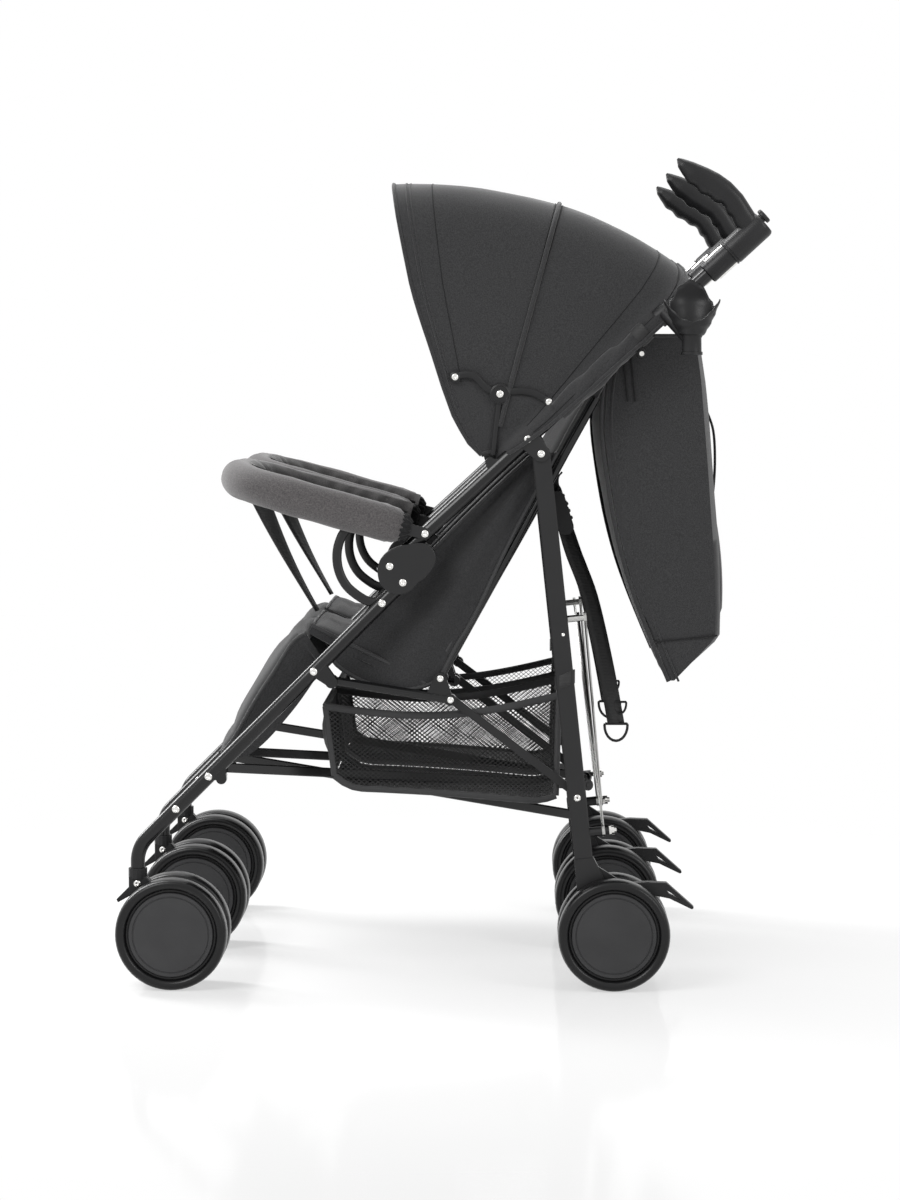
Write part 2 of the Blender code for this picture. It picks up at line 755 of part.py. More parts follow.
def make_seat_link(side):
    """A flat bar on the rear leg that props up the back end of the seat bar."""
    link_y = inboard(side, LINK_OFFSET)
    half = LINK_THICKNESS / 2
    rivet_tip = inboard(side, LINK_OFFSET + half + RIVET_HEIGHT / 2)
    whole = join(
        strip(BAR_END, LINK_PIN, LINK_HALF_WIDTH, link_y - half, link_y + half),
        crosswise_rod(BAR_END, link_y, rivet_tip, RIVET_RADIUS, 8),
    )
    whole = cut(whole, eye_hole(LINK_PIN, link_y))
    return finish_node(whole, "seat_link_" + side, "painted_tube", spot(LINK_PIN, link_y))


# Crossed bars under the seats


def arm_bar(start, end, thickness, height, up):
    """A flat bar between two points, standing on edge, with its ends rounded."""
    run = (end - start).normalized()
    across = up.cross(run).normalized()
    lift = run.cross(across).normalized()
    shape = bmesh.new()
    bmesh.ops.create_cube(shape, size=1.0)
    bmesh.ops.scale(shape, verts=shape.verts, vec=((end - start).length, thickness, height))
    frame = Matrix((run, across, lift)).transposed().to_4x4()
    bmesh.ops.transform(
        shape, matrix=Matrix.Translation((start + end) / 2) @ frame, verts=shape.verts
    )
    return soften(from_bmesh(shape), 0.0015)


def floor_bar_frame(side, way):
    """A floor bar's pivot on a rear leg, its front end, its direction and its pin's direction."""
    from_mid = side == "mid"
    rear = FLOOR_REAR_HIGH if from_mid else FLOOR_REAR_LOW
    front = FLOOR_FRONT_HIGH if from_mid else FLOOR_FRONT_LOW
    start = spot(rear, FRAME_Y[side] + way * FLOOR_PIVOT_OFFSET)
    end = spot(front, FRAME_Y[side] + way * (FRAME_SPACING - FLOOR_TIP_OFFSET))
    run = (end - start).normalized()
    folded = spot(polar(REAR_LEG_DOWN + 180.0), 0.0)
    normal = run.cross(folded).normalized() * way
    return start, end, run, normal


def make_floor_cross(bay, side):
    """A flat bar from a rear leg to the neighbouring frame's front leg."""
    other = bay if side == "mid" else "mid"
    way = 1.0 if FRAME_Y[other] > FRAME_Y[side] else -1.0
    start, end, run, normal = floor_bar_frame(side, way)
    half = normal * (FLOOR_BAR_THICKNESS / 2 + 0.0002)
    bar = join(
        arm_bar(start, end + run * 0.02, FLOOR_BAR_THICKNESS, FLOOR_BAR_HEIGHT, normal.cross(run)),
        rod(start - half, start + half, EYE_RADIUS, 12),
    )
    hole = rod(start - normal * 0.01, start + normal * 0.01, PIN_RADIUS + FIT_GAP)
    trim = box(
        (end[0] - 0.06, min(end[1], end[1] + way * 0.05), end[2] - 0.05),
        (end[0] + 0.06, max(end[1], end[1] + way * 0.05), end[2] + 0.05),
    )
    name = "floor_cross_" + bay + ("_inner" if side == "mid" else "_outer")
    return finish_node(cut(bar, hole, trim), name, "painted_tube", start)


def make_rear_cross(bay, side, plane):
    """A flat bar behind the rear legs, pinned low on one leg and resting high on its neighbour."""
    other = {"left": "mid", "right": "mid", "mid": bay}[side]
    back = CROSS_STANDOFF + plane * (CROSS_THICKNESS + CROSS_PLANE_GAP)
    low_point = rear_point(CROSS_LOW_DOWN, back)
    rise = CROSS_RISE + plane * CROSS_RISE_STEP
    high_point = rear_point(CROSS_LOW_DOWN - rise, back)
    start = spot(low_point, FRAME_Y[side])
    end = spot(high_point, FRAME_Y[other])
    normal2 = polar(REAR_LEG_TILT)
    normal = Vector((normal2[0], 0, normal2[1]))
    run = (end - start).normalized()
    half = normal * (CROSS_THICKNESS / 2 + 0.0002)
    shoe_end = rear_point(CROSS_LOW_DOWN - rise, REAR_LEG_DEPTH / 2 + FIT_GAP)
    whole = join(
        arm_bar(start, end, CROSS_THICKNESS, CROSS_WIDTH, normal.cross(run)),
        rod(start - half, start + half, CROSS_WIDTH / 2 + 0.001, 12),
        rod(end - half, end + half, CROSS_WIDTH / 2 + 0.001, 12),
        rod(spot(shoe_end, FRAME_Y[other]), end, 0.004, 8),
    )
    hole = rod(start - normal * 0.008, start + normal * 0.008, PIN_RADIUS + FIT_GAP)
    whole = cut(whole, hole)
    name = "rear_cross_" + bay + ("_inner" if side == "mid" else "_outer")
    return finish_node(whole, name, "steel", start)


# Wheels, casters, brakes


def make_wheel(centre, outward):
    """A turned wheel with its raised rim and flat disc on the outer side."""
    half = TYRE_WIDTH / 2
    half_step = math.pi / WHEEL_STEPS
    tread = WHEEL_RADIUS / math.cos(half_step)
    profile = (
        (0.0, half - 0.004),
        (RIM_RADIUS, half - 0.004),
        (RIM_RADIUS + 0.002, half),
        (tread - 0.005, half),
        (tread, half - 0.009),
        (tread, -half + 0.009),
        (tread - 0.005, -half),
        (0.0, -half + 0.001),
    )
    mesh = bpy.data.meshes.new("wheel")
    points = [(radius, 0.0, offset) for radius, offset in profile]
    edges = [(i, i + 1) for i in range(len(points) - 1)]
    mesh.from_pydata(points, edges, [])
    obj = add_object("wheel", mesh)
    screw = obj.modifiers.new("turn", "SCREW")
    screw.steps = WHEEL_STEPS
    screw.render_steps = WHEEL_STEPS
    screw.use_merge_vertices = True
    screw.merge_threshold = 0.00005
    screw.axis = "Z"
    lay_down = Matrix.Rotation(-outward * math.pi / 2, 4, "X")
    flat_down = Matrix.Rotation(half_step, 4, "Z")
    obj.matrix_world = Matrix.Translation(centre) @ lay_down @ flat_down
    return to_mesh_object(obj)


def make_wheel_pair(name, axle, y):
    offset = WHEEL_PAIR_GAP / 2 + TYRE_WIDTH / 2
    whole = join(
        make_wheel(spot(axle, y - offset), -1.0),
        crosswise_rod(axle, y - offset, y + offset, AXLE_RADIUS),
        make_wheel(spot(axle, y + offset), 1.0),
    )
    return finish_node(whole, name, "rubber", spot(axle, y))


def make_caster(side):
    y = FRAME_Y[side]
    half = WEB_THICKNESS / 2
    top = LEG_FOOT_Z - FIT_GAP
    web_top = 0.147
    outline = [
        Vector((SWIVEL_X + 0.0115, web_top)),
        Vector((SWIVEL_X - 0.0115, web_top)),
        Vector((SWIVEL_X - 0.0115, 0.122)),
        Vector((FRONT_AXLE_X - 0.030, WHEEL_RADIUS)),
        *arc_points(FRONT_AXLE, 0.012, 220.0, 380.0, 6),
        Vector((FRONT_AXLE_X - 0.004, 0.112)),
    ]
    tab = plate(
        [
            Vector((SWIVEL_X - 0.008, 0.136)),
            Vector((SWIVEL_X - 0.008, 0.122)),
            Vector((SWIVEL_X - 0.026, 0.112)),
            Vector((SWIVEL_X - 0.028, 0.116)),
        ],
        y - half * 0.8,
        y + half * 0.8,
    )
    rivet_z = 0.1416
    whole = join(
        soften(plate(outline, y - half, y + half), 0.002),
        rod((SWIVEL_X, y, web_top - 0.003), (SWIVEL_X, y, top), CASTER_TOP_RADIUS, 14),
        rod(
            (SWIVEL_X, y, top - 0.002),
            (SWIVEL_X, y, LEG_FOOT_Z + CASTER_PIN_LENGTH - 0.001),
            CASTER_PIN_RADIUS,
        ),
        tab,
        crosswise_rod((SWIVEL_X, rivet_z - 0.004), y - half - RIVET_HEIGHT, y, RIVET_RADIUS, 8),
    )
    whole = cut(whole, crosswise_rod(FRONT_AXLE, y - 0.02, y + 0.02, AXLE_RADIUS + FIT_GAP))
    return finish_node(whole, "caster_" + side, "black_plastic", (SWIVEL_X, y, top))


def make_brake_pedal(side):
    y = FRAME_Y[side]
    pivot = Vector(PEDAL_PIVOT)
    half = WEB_THICKNESS / 2 - 0.0004
    outline = [
        pivot + Vector((-0.0040, 0.0068)),
        pivot + Vector((-0.0076, 0.0000)),
        pivot + Vector((-0.0020, -0.0074)),
        pivot + Vector((0.0260, -0.0060)),
        pivot + Vector((0.0600, -0.0130)),
        pivot + Vector((0.0900, -0.0275)),
        pivot + Vector((0.0925, -0.0245)),
        pivot + Vector((0.0560, 0.0080)),
        pivot + Vector((0.0300, 0.0090)),
    ]
    window = plate(
        [
            pivot + Vector((0.0540, 0.0000)),
            pivot + Vector((0.0600, -0.0075)),
            pivot + Vector((0.0770, -0.0165)),
        ],
        y - half - 0.01,
        y + half + 0.01,
    )
    slot = plate(
        [
            pivot + Vector((-0.030, -0.030)),
            pivot + Vector((0.0095, -0.030)),
            pivot + Vector((0.0095, 0.030)),
            pivot + Vector((-0.030, 0.030)),
        ],
        y - PEDAL_LUG_HALF - FIT_GAP,
        y + PEDAL_LUG_HALF + FIT_GAP,
    )
    whole = cut(
        soften(plate(outline, y - half, y + half), 0.0012),
        slot,
        window,
        crosswise_rod(pivot, y - 0.02, y + 0.02, 0.0028 + FIT_GAP),
    )
    return finish_node(whole, "brake_pedal_" + side, "black_plastic", spot(pivot, y))


# Handle grips


def make_handle_grip(side):
    y = FRAME_Y[side]

    def axis_point(run, rise=0.0):
        return spot(along(HANDLE_START, HANDLE_ANGLE, run, rise), y)

    grip_path = (
        (0.6440, 0.0020),
        (0.6500, 0.0220),
        (0.6530, 0.0480),
        (0.6515, 0.0700),
        (0.6458, 0.0920),
        (0.6410, 0.1120),
        (0.6385, 0.1280),
        (0.6372, 0.1365),
    )
    sizes = (1.00, 0.97, 0.92, 1.10, 1.08, 0.89, 0.55, 0.26)
    points = [axis_point(run, rise) for run, rise in grip_path]
    whole = join(
        rod(axis_point(BARREL_START), axis_point(BARREL_END), BARREL_RADIUS, 14),
        rod(axis_point(COLLAR_START), axis_point(BARREL_START + 0.004), COLLAR_RADIUS, 14),
        tube(points, GRIP_RADIUS, 2, sizes),
        rod(
            axis_point(BARREL_END - 0.002, 0.006),
            axis_point(GRIP_CAP_END, 0.006),
            GRIP_CAP_RADIUS,
            12,
        ),
    )
    bore = rod(
        axis_point(COLLAR_START - 0.02),
        axis_point(HANDLE_REACH - 0.02 + FIT_GAP),
        TUBE_RADIUS + FIT_GAP,
        14,
    )
    whole = cut(whole, bore)
    return finish_node(whole, "handle_grip_" + side, "black_plastic")


# Seats and their padding


def make_recline_hub(bay):
    """The bush on the middle seat bar that a backrest's tube turns on."""
    way = -1.0 if bay == "left" else 1.0
    near = FRAME_Y["mid"] + way * RECLINE_HUB_START
    far = FRAME_Y["mid"] + way * (RECLINE_HUB_END - RUN_GAP)
    hub = crosswise_rod(BACK_PIVOT, near, far, RECLINE_HUB_RADIUS, 14)
    hub = cut(hub, crosswise_rod(BACK_PIVOT, near - 0.01, near + 0.01, PIN_RADIUS + FIT_GAP))
    hub = cut(hub, crosswise_rod(BACK_PIVOT, far - 0.01, far + 0.01, PIN_RADIUS + FIT_GAP))
    return finish_node(hub, "recline_hub_" + bay, "black_plastic", spot(BACK_PIVOT, (near + far) / 2))


def bay_range(bay, side_gap, mid_gap):
    """The stretch across the stroller that a seat's piece fills."""
    if bay == "left":
        return FRAME_Y["left"] + side_gap, FRAME_Y["mid"] - mid_gap
    return FRAME_Y["mid"] + mid_gap, FRAME_Y["right"] - side_gap


def crowned_pad(centre_line, thickness, y_low, y_high, crown, normal_side=1.0, columns=6):
    """A padded panel along a side-plane line, thicker in its middle than at its edges."""
    rows = len(centre_line)
    top = []
    bottom = []
    for i, point in enumerate(centre_line):
        before = centre_line[max(i - 1, 0)]
        after = centre_line[min(i + 1, rows - 1)]
        run = (after - before).normalized()
        normal = Vector((-run[1], run[0])) * normal_side
        lengthwise = math.sin(math.pi * i / (rows - 1)) ** 0.5 if 0 < i < rows - 1 else 0.0
        top_row = []
        bottom_row = []
        for j in range(columns + 1):
            across = math.sin(math.pi * j / columns) ** 0.5 if 0 < j < columns else 0.0
            y = y_low + (y_high - y_low) * j / columns
            rise = thickness * 0.5 + crown * across * lengthwise
            top_row.append(spot(point + normal * rise, y))
            bottom_row.append(spot(point - normal * thickness * 0.5, y))
        top.append(top_row)
        bottom.append(bottom_row)
    return closed_sheet(top, bottom)


def closed_sheet(top, bottom):
    """A closed body between two grids of points with the same rows and columns."""
    rows = len(top)
    columns = len(top[0])
    shape = bmesh.new()
    upper = [[shape.verts.new(p) for p in row] for row in top]
    lower = [[shape.verts.new(p) for p in row] for row in bottom]
    for i in range(rows - 1):
        for j in range(columns - 1):
            shape.faces.new((upper[i][j], upper[i + 1][j], upper[i + 1][j + 1], upper[i][j + 1]))
            shape.faces.new((lower[i][j], lower[i][j + 1], lower[i + 1][j + 1], lower[i + 1][j]))
    rim = [(0, j) for j in range(columns)]
    rim += [(i, columns - 1) for i in range(1, rows)]
    rim += [(rows - 1, j) for j in range(columns - 2, -1, -1)]
    rim += [(i, 0) for i in range(rows - 2, 0, -1)]
    for (a, b), (c, d) in zip(rim, rim[1:] + rim[:1]):
        shape.faces.new((upper[a][b], upper[c][d], lower[c][d], lower[a][b]))
    bmesh.ops.triangulate(shape, faces=shape.faces)
    return from_bmesh(shape)


def make_seat(bay):
    y_low, y_high = bay_range(bay, SEAT_SIDE_GAP, SEAT_SIDE_GAP)
    front = Vector(SEAT_FRONT)
    back = BACK_PIVOT + Vector((-0.022, -0.012))
    line = [back.lerp(front, i / 5) for i in range(6)]
    pad = crowned_pad(line, SEAT_THICKNESS, y_low, y_high, 0.010, -1.0, 6)
    return finish_node(pad, "seat_" + bay, "fabric", spot(BAR_PIVOT, FRAME_Y["mid"]))


def make_calf_rest(bay):
    y_low, y_high = bay_range(bay, SOFT_SIDE_GAP, SOFT_SIDE_GAP)
    seat_run = (Vector(SEAT_FRONT) - BACK_PIVOT - Vector((-0.022, -0.012))).normalized()
    seat_down = Vector((-seat_run[1], seat_run[0])) * SEAT_THICKNESS / 2
    seat_corner = Vector(SEAT_FRONT) + seat_down + seat_run * FIT_GAP
    start = seat_corner - polar(CALF_ANGLE - 90.0, CALF_THICKNESS / 2)
    line = [along(start, -180.0 + CALF_ANGLE, CALF_LENGTH * i / 5) for i in range(6)]
    pad = crowned_pad(line, CALF_THICKNESS, y_low, y_high, 0.006, -1.0, 6)
    return finish_node(pad, "leg_rest_" + bay, "fabric")


def make_backrest(bay):
    """The back panel with its side wings, and the two tubes that carry it."""
    y_low, y_high = bay_range(bay, SOFT_SIDE_GAP, SOFT_SIDE_GAP)
    start = along(BACK_PIVOT, BACK_ANGLE, 0.034, 0.006)
    line = [along(start, BACK_ANGLE, BACK_LENGTH * i / 5) for i in range(6)]
    pad = crowned_pad(line, BACK_THICKNESS, y_low, y_high, 0.010, 1.0, 6)
    wing_outline = [
        along(start, BACK_ANGLE, 0.010, 0.010),
        along(start, BACK_ANGLE, 0.060, 0.085),
        along(start, BACK_ANGLE, 0.150, BACK_WING_DEPTH - 0.010),
        along(start, BACK_ANGLE, 0.300, 0.055),
        along(start, BACK_ANGLE, BACK_LENGTH - 0.020, 0.010),
    ]
    pieces = [
        pad,
        plate(wing_outline, y_low, y_low + WING_THICKNESS),
        plate(wing_outline, y_high - WING_THICKNESS, y_high),
    ]
    holes = []
    tube_end = along(BACK_PIVOT, BACK_ANGLE, BACK_LENGTH)
    for tube_y in bay_range(bay, BACK_TUBE_OFFSET, BACK_TUBE_OFFSET):
        pieces.append(rod(spot(BACK_PIVOT, tube_y), spot(tube_end, tube_y), BACK_TUBE_RADIUS, 10))
        eye_half = 0.004
        pieces.append(
            crosswise_rod(BACK_PIVOT, tube_y - eye_half, tube_y + eye_half, 0.0105, 14)
        )
        holes.append(
            crosswise_rod(
                BACK_PIVOT, tube_y - 0.012, tube_y + 0.012, RECLINE_HUB_RADIUS + FIT_GAP, 14
            )
        )
    whole = cut(join(*pieces), *holes)
    pivot_y = FRAME_Y["mid"] + (-BACK_TUBE_OFFSET if bay == "left" else BACK_TUBE_OFFSET)
    return finish_node(whole, "backrest_" + bay, "fabric", spot(BACK_PIVOT, pivot_y))


def make_bumper(bay):
    """A padded hoop in front of a seat, with a lug at each end and its crotch strap."""
    outer = "left" if bay == "left" else "right"
    way = -1.0 if bay == "left" else 1.0
    lug_near = TUBE_RADIUS + FIT_GAP
    outer_y = FRAME_Y[outer] + way * 0.004
    inner_y = FRAME_Y["mid"] + way * (BUMPER_RADIUS + 0.004)
    lean = 180.0 - BUMPER_ANGLE
    hoop = []
    straight = BUMPER_REACH - BUMPER_CORNER
    for run in (0.038, 0.052, straight * 0.55, straight):
        hoop.append((run, outer_y))
    inner = -way
    for i in range(1, 5):
        turn = math.radians(90.0 * i / 4)
        across = BUMPER_CORNER * (1 - math.cos(turn))
        hoop.append((straight + BUMPER_CORNER * math.sin(turn), outer_y + inner * across))
    for run, y in [*hoop]:
        hoop.append((run, outer_y + inner_y - y))
    hoop[8:] = hoop[8:][::-1]
    points = [spot(along(BUMPER_PIVOT, lean, run), y) for run, y in hoop]
    sizes = [0.55, 0.95, 1.0, 1.0, 1.0, 1.0, 1.0, 1.0]
    pieces = [tube(points, BUMPER_RADIUS, 2, sizes + sizes[::-1])]
    for frame, arm_y in ((outer, outer_y), ("mid", inner_y)):
        near = FRAME_Y[frame] + way * lug_near
        far = near + way * BUMPER_LUG
        lug_outline = [
            *arc_points(BUMPER_PIVOT, 0.0075, lean + 100.0, lean + 260.0, 6),
            along(BUMPER_PIVOT, lean, 0.046, -0.0065),
            along(BUMPER_PIVOT, lean, 0.046, 0.0065),
        ]
        pieces.append(plate(lug_outline, min(near, far), max(near, far)))
        pieces.append(
            plate(
                [
                    along(BUMPER_PIVOT, lean, 0.036, -0.0065),
                    along(BUMPER_PIVOT, lean, 0.046, -0.0065),
                    along(BUMPER_PIVOT, lean, 0.046, 0.0065),
                    along(BUMPER_PIVOT, lean, 0.036, 0.0065),
                ],
                min(near, arm_y),
                max(far, arm_y),
            )
        )
    strap_top = along(BUMPER_PIVOT, lean, BUMPER_REACH - 0.008)
    strap_low = Vector(SEAT_FRONT) + Vector((0.004, 0.0165))
    run2 = (strap_low - strap_top).normalized()
    side2 = Vector((-run2[1], run2[0])) * CROTCH_THICKNESS / 2
    middle_y = (outer_y + inner_y) / 2
    pieces.append(
        plate(
            [strap_top - side2, strap_low - side2, strap_low + side2, strap_top + side2],
            middle_y - CROTCH_WIDTH / 2,
            middle_y + CROTCH_WIDTH / 2,
        )
    )
    whole = join(*pieces)
    for frame in (outer, "mid"):
        near = FRAME_Y[frame] + way * (lug_near + BUMPER_LUG / 2)
        whole = cut(
            whole, crosswise_rod(BUMPER_PIVOT, near - 0.006, near + 0.006, PIN_RADIUS + FIT_GAP)
        )
    pivot_y = FRAME_Y["mid"] + way * (lug_near + BUMPER_LUG / 2)
    return finish_node(whole, "bumper_bar_" + bay, "sleeve", spot(BUMPER_PIVOT, pivot_y))


# Canopies


def canopy_radius(angle):
    """How far the cloth reaches from the pivot at an angle of the fan."""
    middle = 75.0
    if angle >= middle:
        share = (angle - middle) / (CANOPY_FRONT_ANGLE - middle)
        return CANOPY_MID_RADIUS + (CANOPY_FRONT_RADIUS - CANOPY_MID_RADIUS) * share**1.4
    share = (middle - angle) / (middle - CANOPY_REAR_ANGLE)
    return CANOPY_MID_RADIUS + (CANOPY_REAR_RADIUS - CANOPY_MID_RADIUS) * share


def hoop_section(inner_radius, radius, y_low, y_high, corner, steps=3):
    """Points up one side, over a rounded top and down the other: (distance, y)."""
    rise = [inner_radius + (radius - corner - inner_radius) * i / 2 for i in range(3)]
    points = [(distance, y_low) for distance in rise]
    for i in range(1, steps + 1):
        turn = math.radians(90.0 * i / steps)
        out = radius - corner + corner * math.sin(turn)
        points.append((out, y_low + corner * (1 - math.cos(turn))))
    half = [*points]
    middle = (radius + 0.006, (y_low + y_high) / 2)
    return half + [middle] + [(distance, y_low + y_high - y) for distance, y in reversed(half)]


def canopy_range(bay):
    return bay_range(bay, CANOPY_SIDE, CANOPY_SIDE)


def make_canopy(bay):
    y_low, y_high = canopy_range(bay)
    pivot = Vector(CANOPY_PIVOT)
    steps = 8
    outer = []
    inner = []
    for i in range(steps + 1):
        angle = CANOPY_FRONT_ANGLE + (CANOPY_REAR_ANGLE - CANOPY_FRONT_ANGLE) * i / steps
        radius = canopy_radius(angle)
        section = hoop_section(CANOPY_INNER_RADIUS, radius, y_low, y_high, CANOPY_CORNER)
        tucked = hoop_section(
            CANOPY_INNER_RADIUS,
            radius - CANOPY_CLOTH,
            y_low + CANOPY_CLOTH,
            y_high - CANOPY_CLOTH,
            CANOPY_CORNER - CANOPY_CLOTH,
        )
        outer.append([spot(along(pivot, angle, distance), y) for distance, y in section])
        inner.append([spot(along(pivot, angle, distance), y) for distance, y in tucked])
    whole = closed_sheet(outer, inner)
    return finish_node(whole, "canopy_" + bay, "fabric")


def make_canopy_bow(bay, kind):
    """A flat hoop under the cloth: the front one at its edge, or the middle one."""
    y_low, y_high = canopy_range(bay)
    pivot = Vector(CANOPY_PIVOT)
    front = kind == "front"
    tuck = CANOPY_CLOTH + FIT_GAP + BOW_THICKNESS / 2
    step_in = tuck if front else tuck + BOW_THICKNESS + FIT_GAP
    reach = CANOPY_FRONT_RADIUS - FRONT_BOW_DROP if front else CANOPY_MID_RADIUS - MID_BOW_DROP
    angle = CANOPY_FRONT_ANGLE - 2.2 if front else MID_BOW_ANGLE
    section = hoop_section(0.0, reach, y_low + step_in, y_high - step_in, CANOPY_CORNER - tuck)
    forward2 = polar(angle + 90.0)
    forward = Vector((forward2[0], 0, forward2[1]))
    centre = [spot(along(pivot, angle, distance), y) for distance, y in section]
    rows = []
    for i, point in enumerate(centre):
        before = centre[max(i - 1, 0)]
        after = centre[min(i + 1, len(centre) - 1)]
        side = (after - before).normalized().cross(forward).normalized() * BOW_THICKNESS / 2
        edge = forward * BOW_WIDTH / 2
        rows.append(
            [point + side + edge, point + side - edge, point - side - edge, point - side + edge]
        )
    pieces = [lofted(rows)]
    holes = []
    for y in (y_low + step_in, y_high - step_in):
        half = BOW_THICKNESS / 2 - 0.0003
        pieces.append(crosswise_rod(pivot, y - half, y + half, BOW_WIDTH / 2 + 0.001, 10))
        holes.append(crosswise_rod(pivot, y - 0.005, y + 0.005, PIN_RADIUS + FIT_GAP))
    whole = cut(join(*pieces), *holes)
    name = "canopy_" + kind + "_bow_" + bay
    return finish_node(whole, name, "black_plastic", spot(pivot, FRAME_Y["mid"]))


def lofted(rows):
    """A closed bar through a row of equal rings of points."""
    shape = bmesh.new()
    rings = [[shape.verts.new(p) for p in row] for row in rows]
    count = len(rows[0])
    for first, second in zip(rings, rings[1:]):
        for j in range(count):
            k = (j + 1) % count
            shape.faces.new((first[j], first[k], second[k], second[j]))
    shape.faces.new(rings[0][::-1])
    shape.faces.new(rings[-1])
    return from_bmesh(shape)


# Basket, bag, cup holder, straps


def make_basket(bay):
    """An open tub whose side skirts hang below its floor."""
    low, high = bay_range(bay, BASKET_SIDE_GAP, BASKET_SIDE_GAP)
    wall = BASKET_WALL
    outline = [
        Vector((BASKET_FRONT_X, BASKET_TOP_FRONT_Z)),
        Vector((BASKET_FRONT_X, BASKET_FLOOR_FRONT_Z)),
        Vector((BASKET_REAR_X, BASKET_FLOOR_REAR_Z)),
        Vector((BASKET_REAR_X, BASKET_TOP_REAR_Z)),
    ]
    inside = [
        Vector((BASKET_FRONT_X + wall, BASKET_TOP_FRONT_Z + 0.05)),
        Vector((BASKET_FRONT_X + wall, BASKET_FLOOR_FRONT_Z + wall)),
        Vector((BASKET_REAR_X - wall, BASKET_FLOOR_REAR_Z + wall)),
        Vector((BASKET_REAR_X - wall, BASKET_TOP_REAR_Z + 0.05)),
    ]
    whole = cut(plate(outline, low, high), plate(inside, low + wall, high - wall))
    return finish_node(whole, "basket_" + bay, "mesh", smooth=False)


def make_storage_bag():
    """An open-topped bag behind the seats, notched round the middle handle tube."""
    outline = [
        Vector((0.2290, BAG_TOP_Z)),
        Vector((0.2501, 0.592)),
        Vector((0.2960, 0.410)),
        Vector((0.3080, 0.4060)),
        Vector((0.3690, 0.4600)),
        Vector((0.3690, 0.5150)),
        Vector((0.3500, 0.7400)),
        Vector((0.3400, BAG_TOP_Z)),
    ]
    bag = plate(outline, FRAME_Y["mid"] - BAG_HALF_WIDTH, FRAME_Y["mid"] + BAG_HALF_WIDTH)
    bag = soften(bag, 0.005, 2, 25.0)
    hollow = [
        Vector((0.2370, 0.9500)),
        Vector((0.2370, 0.8000)),
        Vector((0.2575, 0.5940)),
        Vector((0.3030, 0.4180)),
        Vector((0.3610, 0.4660)),
        Vector((0.3610, 0.5150)),
        Vector((0.3420, 0.7400)),
        Vector((0.3320, 0.8640)),
        Vector((0.3320, 0.9500)),
    ]
    reach = BAG_HALF_WIDTH - BAG_WALL
    bag = cut(bag, plate(hollow, FRAME_Y["mid"] - reach, FRAME_Y["mid"] + reach))
    notch_low = TUBE_RADIUS + FIT_GAP
    notch = [
        along(HANDLE_START, HANDLE_ANGLE, 0.30, -notch_low),
        along(HANDLE_START, HANDLE_ANGLE, 0.60, -notch_low),
        along(HANDLE_START, HANDLE_ANGLE, 0.60, 0.10),
        along(HANDLE_START, HANDLE_ANGLE, 0.30, 0.10),
    ]
    bag = cut(bag, plate(notch, FRAME_Y["mid"] - notch_low, FRAME_Y["mid"] + notch_low))
    return finish_node(bag, "storage_bag", "fabric")


def make_cup_holder():
    """A flared cup on a stem, clipped round the left handle tube."""
    tube_y = FRAME_Y["left"]
    cup_y = tube_y - CUP_OFFSET
    axis_point = along(HANDLE_START, HANDLE_ANGLE, CUP_ALONG_HANDLE)
    x = axis_point[0]
    floor_z = CUP_TOP_Z - CUP_HEIGHT
    profile = [
        (CUP_RADIUS, CUP_TOP_Z),
        (CUP_RADIUS * 0.90, CUP_TOP_Z - CUP_HEIGHT * 0.45),
        (CUP_RADIUS * 0.62, floor_z + 0.006),
        (CUP_STEM_RADIUS, floor_z - 0.003),
        (CUP_STEM_RADIUS, floor_z - CUP_STEM_LENGTH),
        (0.0, floor_z - CUP_STEM_LENGTH),
    ]
    inner = [
        (0.0, floor_z + CUP_WALL),
        (CUP_RADIUS * 0.55, floor_z + 0.006 + CUP_WALL),
        (CUP_RADIUS * 0.90 - CUP_WALL, CUP_TOP_Z - CUP_HEIGHT * 0.45),
        (CUP_RADIUS - CUP_WALL, CUP_TOP_Z),
    ]
    mesh = bpy.data.meshes.new("cup")
    points = [(radius, 0.0, z) for radius, z in inner + profile]
    edges = [(i, i + 1) for i in range(len(points) - 1)]
    mesh.from_pydata(points, edges, [])
    obj = add_object("cup", mesh)
    screw = obj.modifiers.new("turn", "SCREW")
    screw.steps = CUP_STEPS
    screw.render_steps = CUP_STEPS
    screw.use_merge_vertices = True
    screw.merge_threshold = 0.00005
    obj.location = (x, cup_y, 0)
    cup = to_mesh_object(obj)
    clip_along = CUP_ALONG_HANDLE - 0.030
    low = along(HANDLE_START, HANDLE_ANGLE, clip_along - 0.011)
    high = along(HANDLE_START, HANDLE_ANGLE, clip_along + 0.011)
    clip = rod(spot(low, tube_y), spot(high, tube_y), TUBE_RADIUS + 0.004, 14)
    neck_point = along(HANDLE_START, HANDLE_ANGLE, clip_along)
    neck = rod(
        spot(neck_point, tube_y - TUBE_RADIUS - 0.001),
        (x, cup_y, floor_z + 0.002),
        0.008,
        10,
    )
    whole = join(cup, neck, clip)
    hollow = rod(
        (x, cup_y, floor_z + 0.0085),
        (x, cup_y, CUP_TOP_Z + 0.02),
        CUP_RADIUS * 0.50,
        16,
        CUP_RADIUS * 1.02,
    )
    far_low = along(HANDLE_START, HANDLE_ANGLE, clip_along - 0.05)
    far_high = along(HANDLE_START, HANDLE_ANGLE, clip_along + 0.05)
    whole = cut(
        whole, hollow, rod(spot(far_low, tube_y), spot(far_high, tube_y), TUBE_RADIUS + FIT_GAP, 14)
    )
    return finish_node(whole, "cup_holder", "black_plastic")


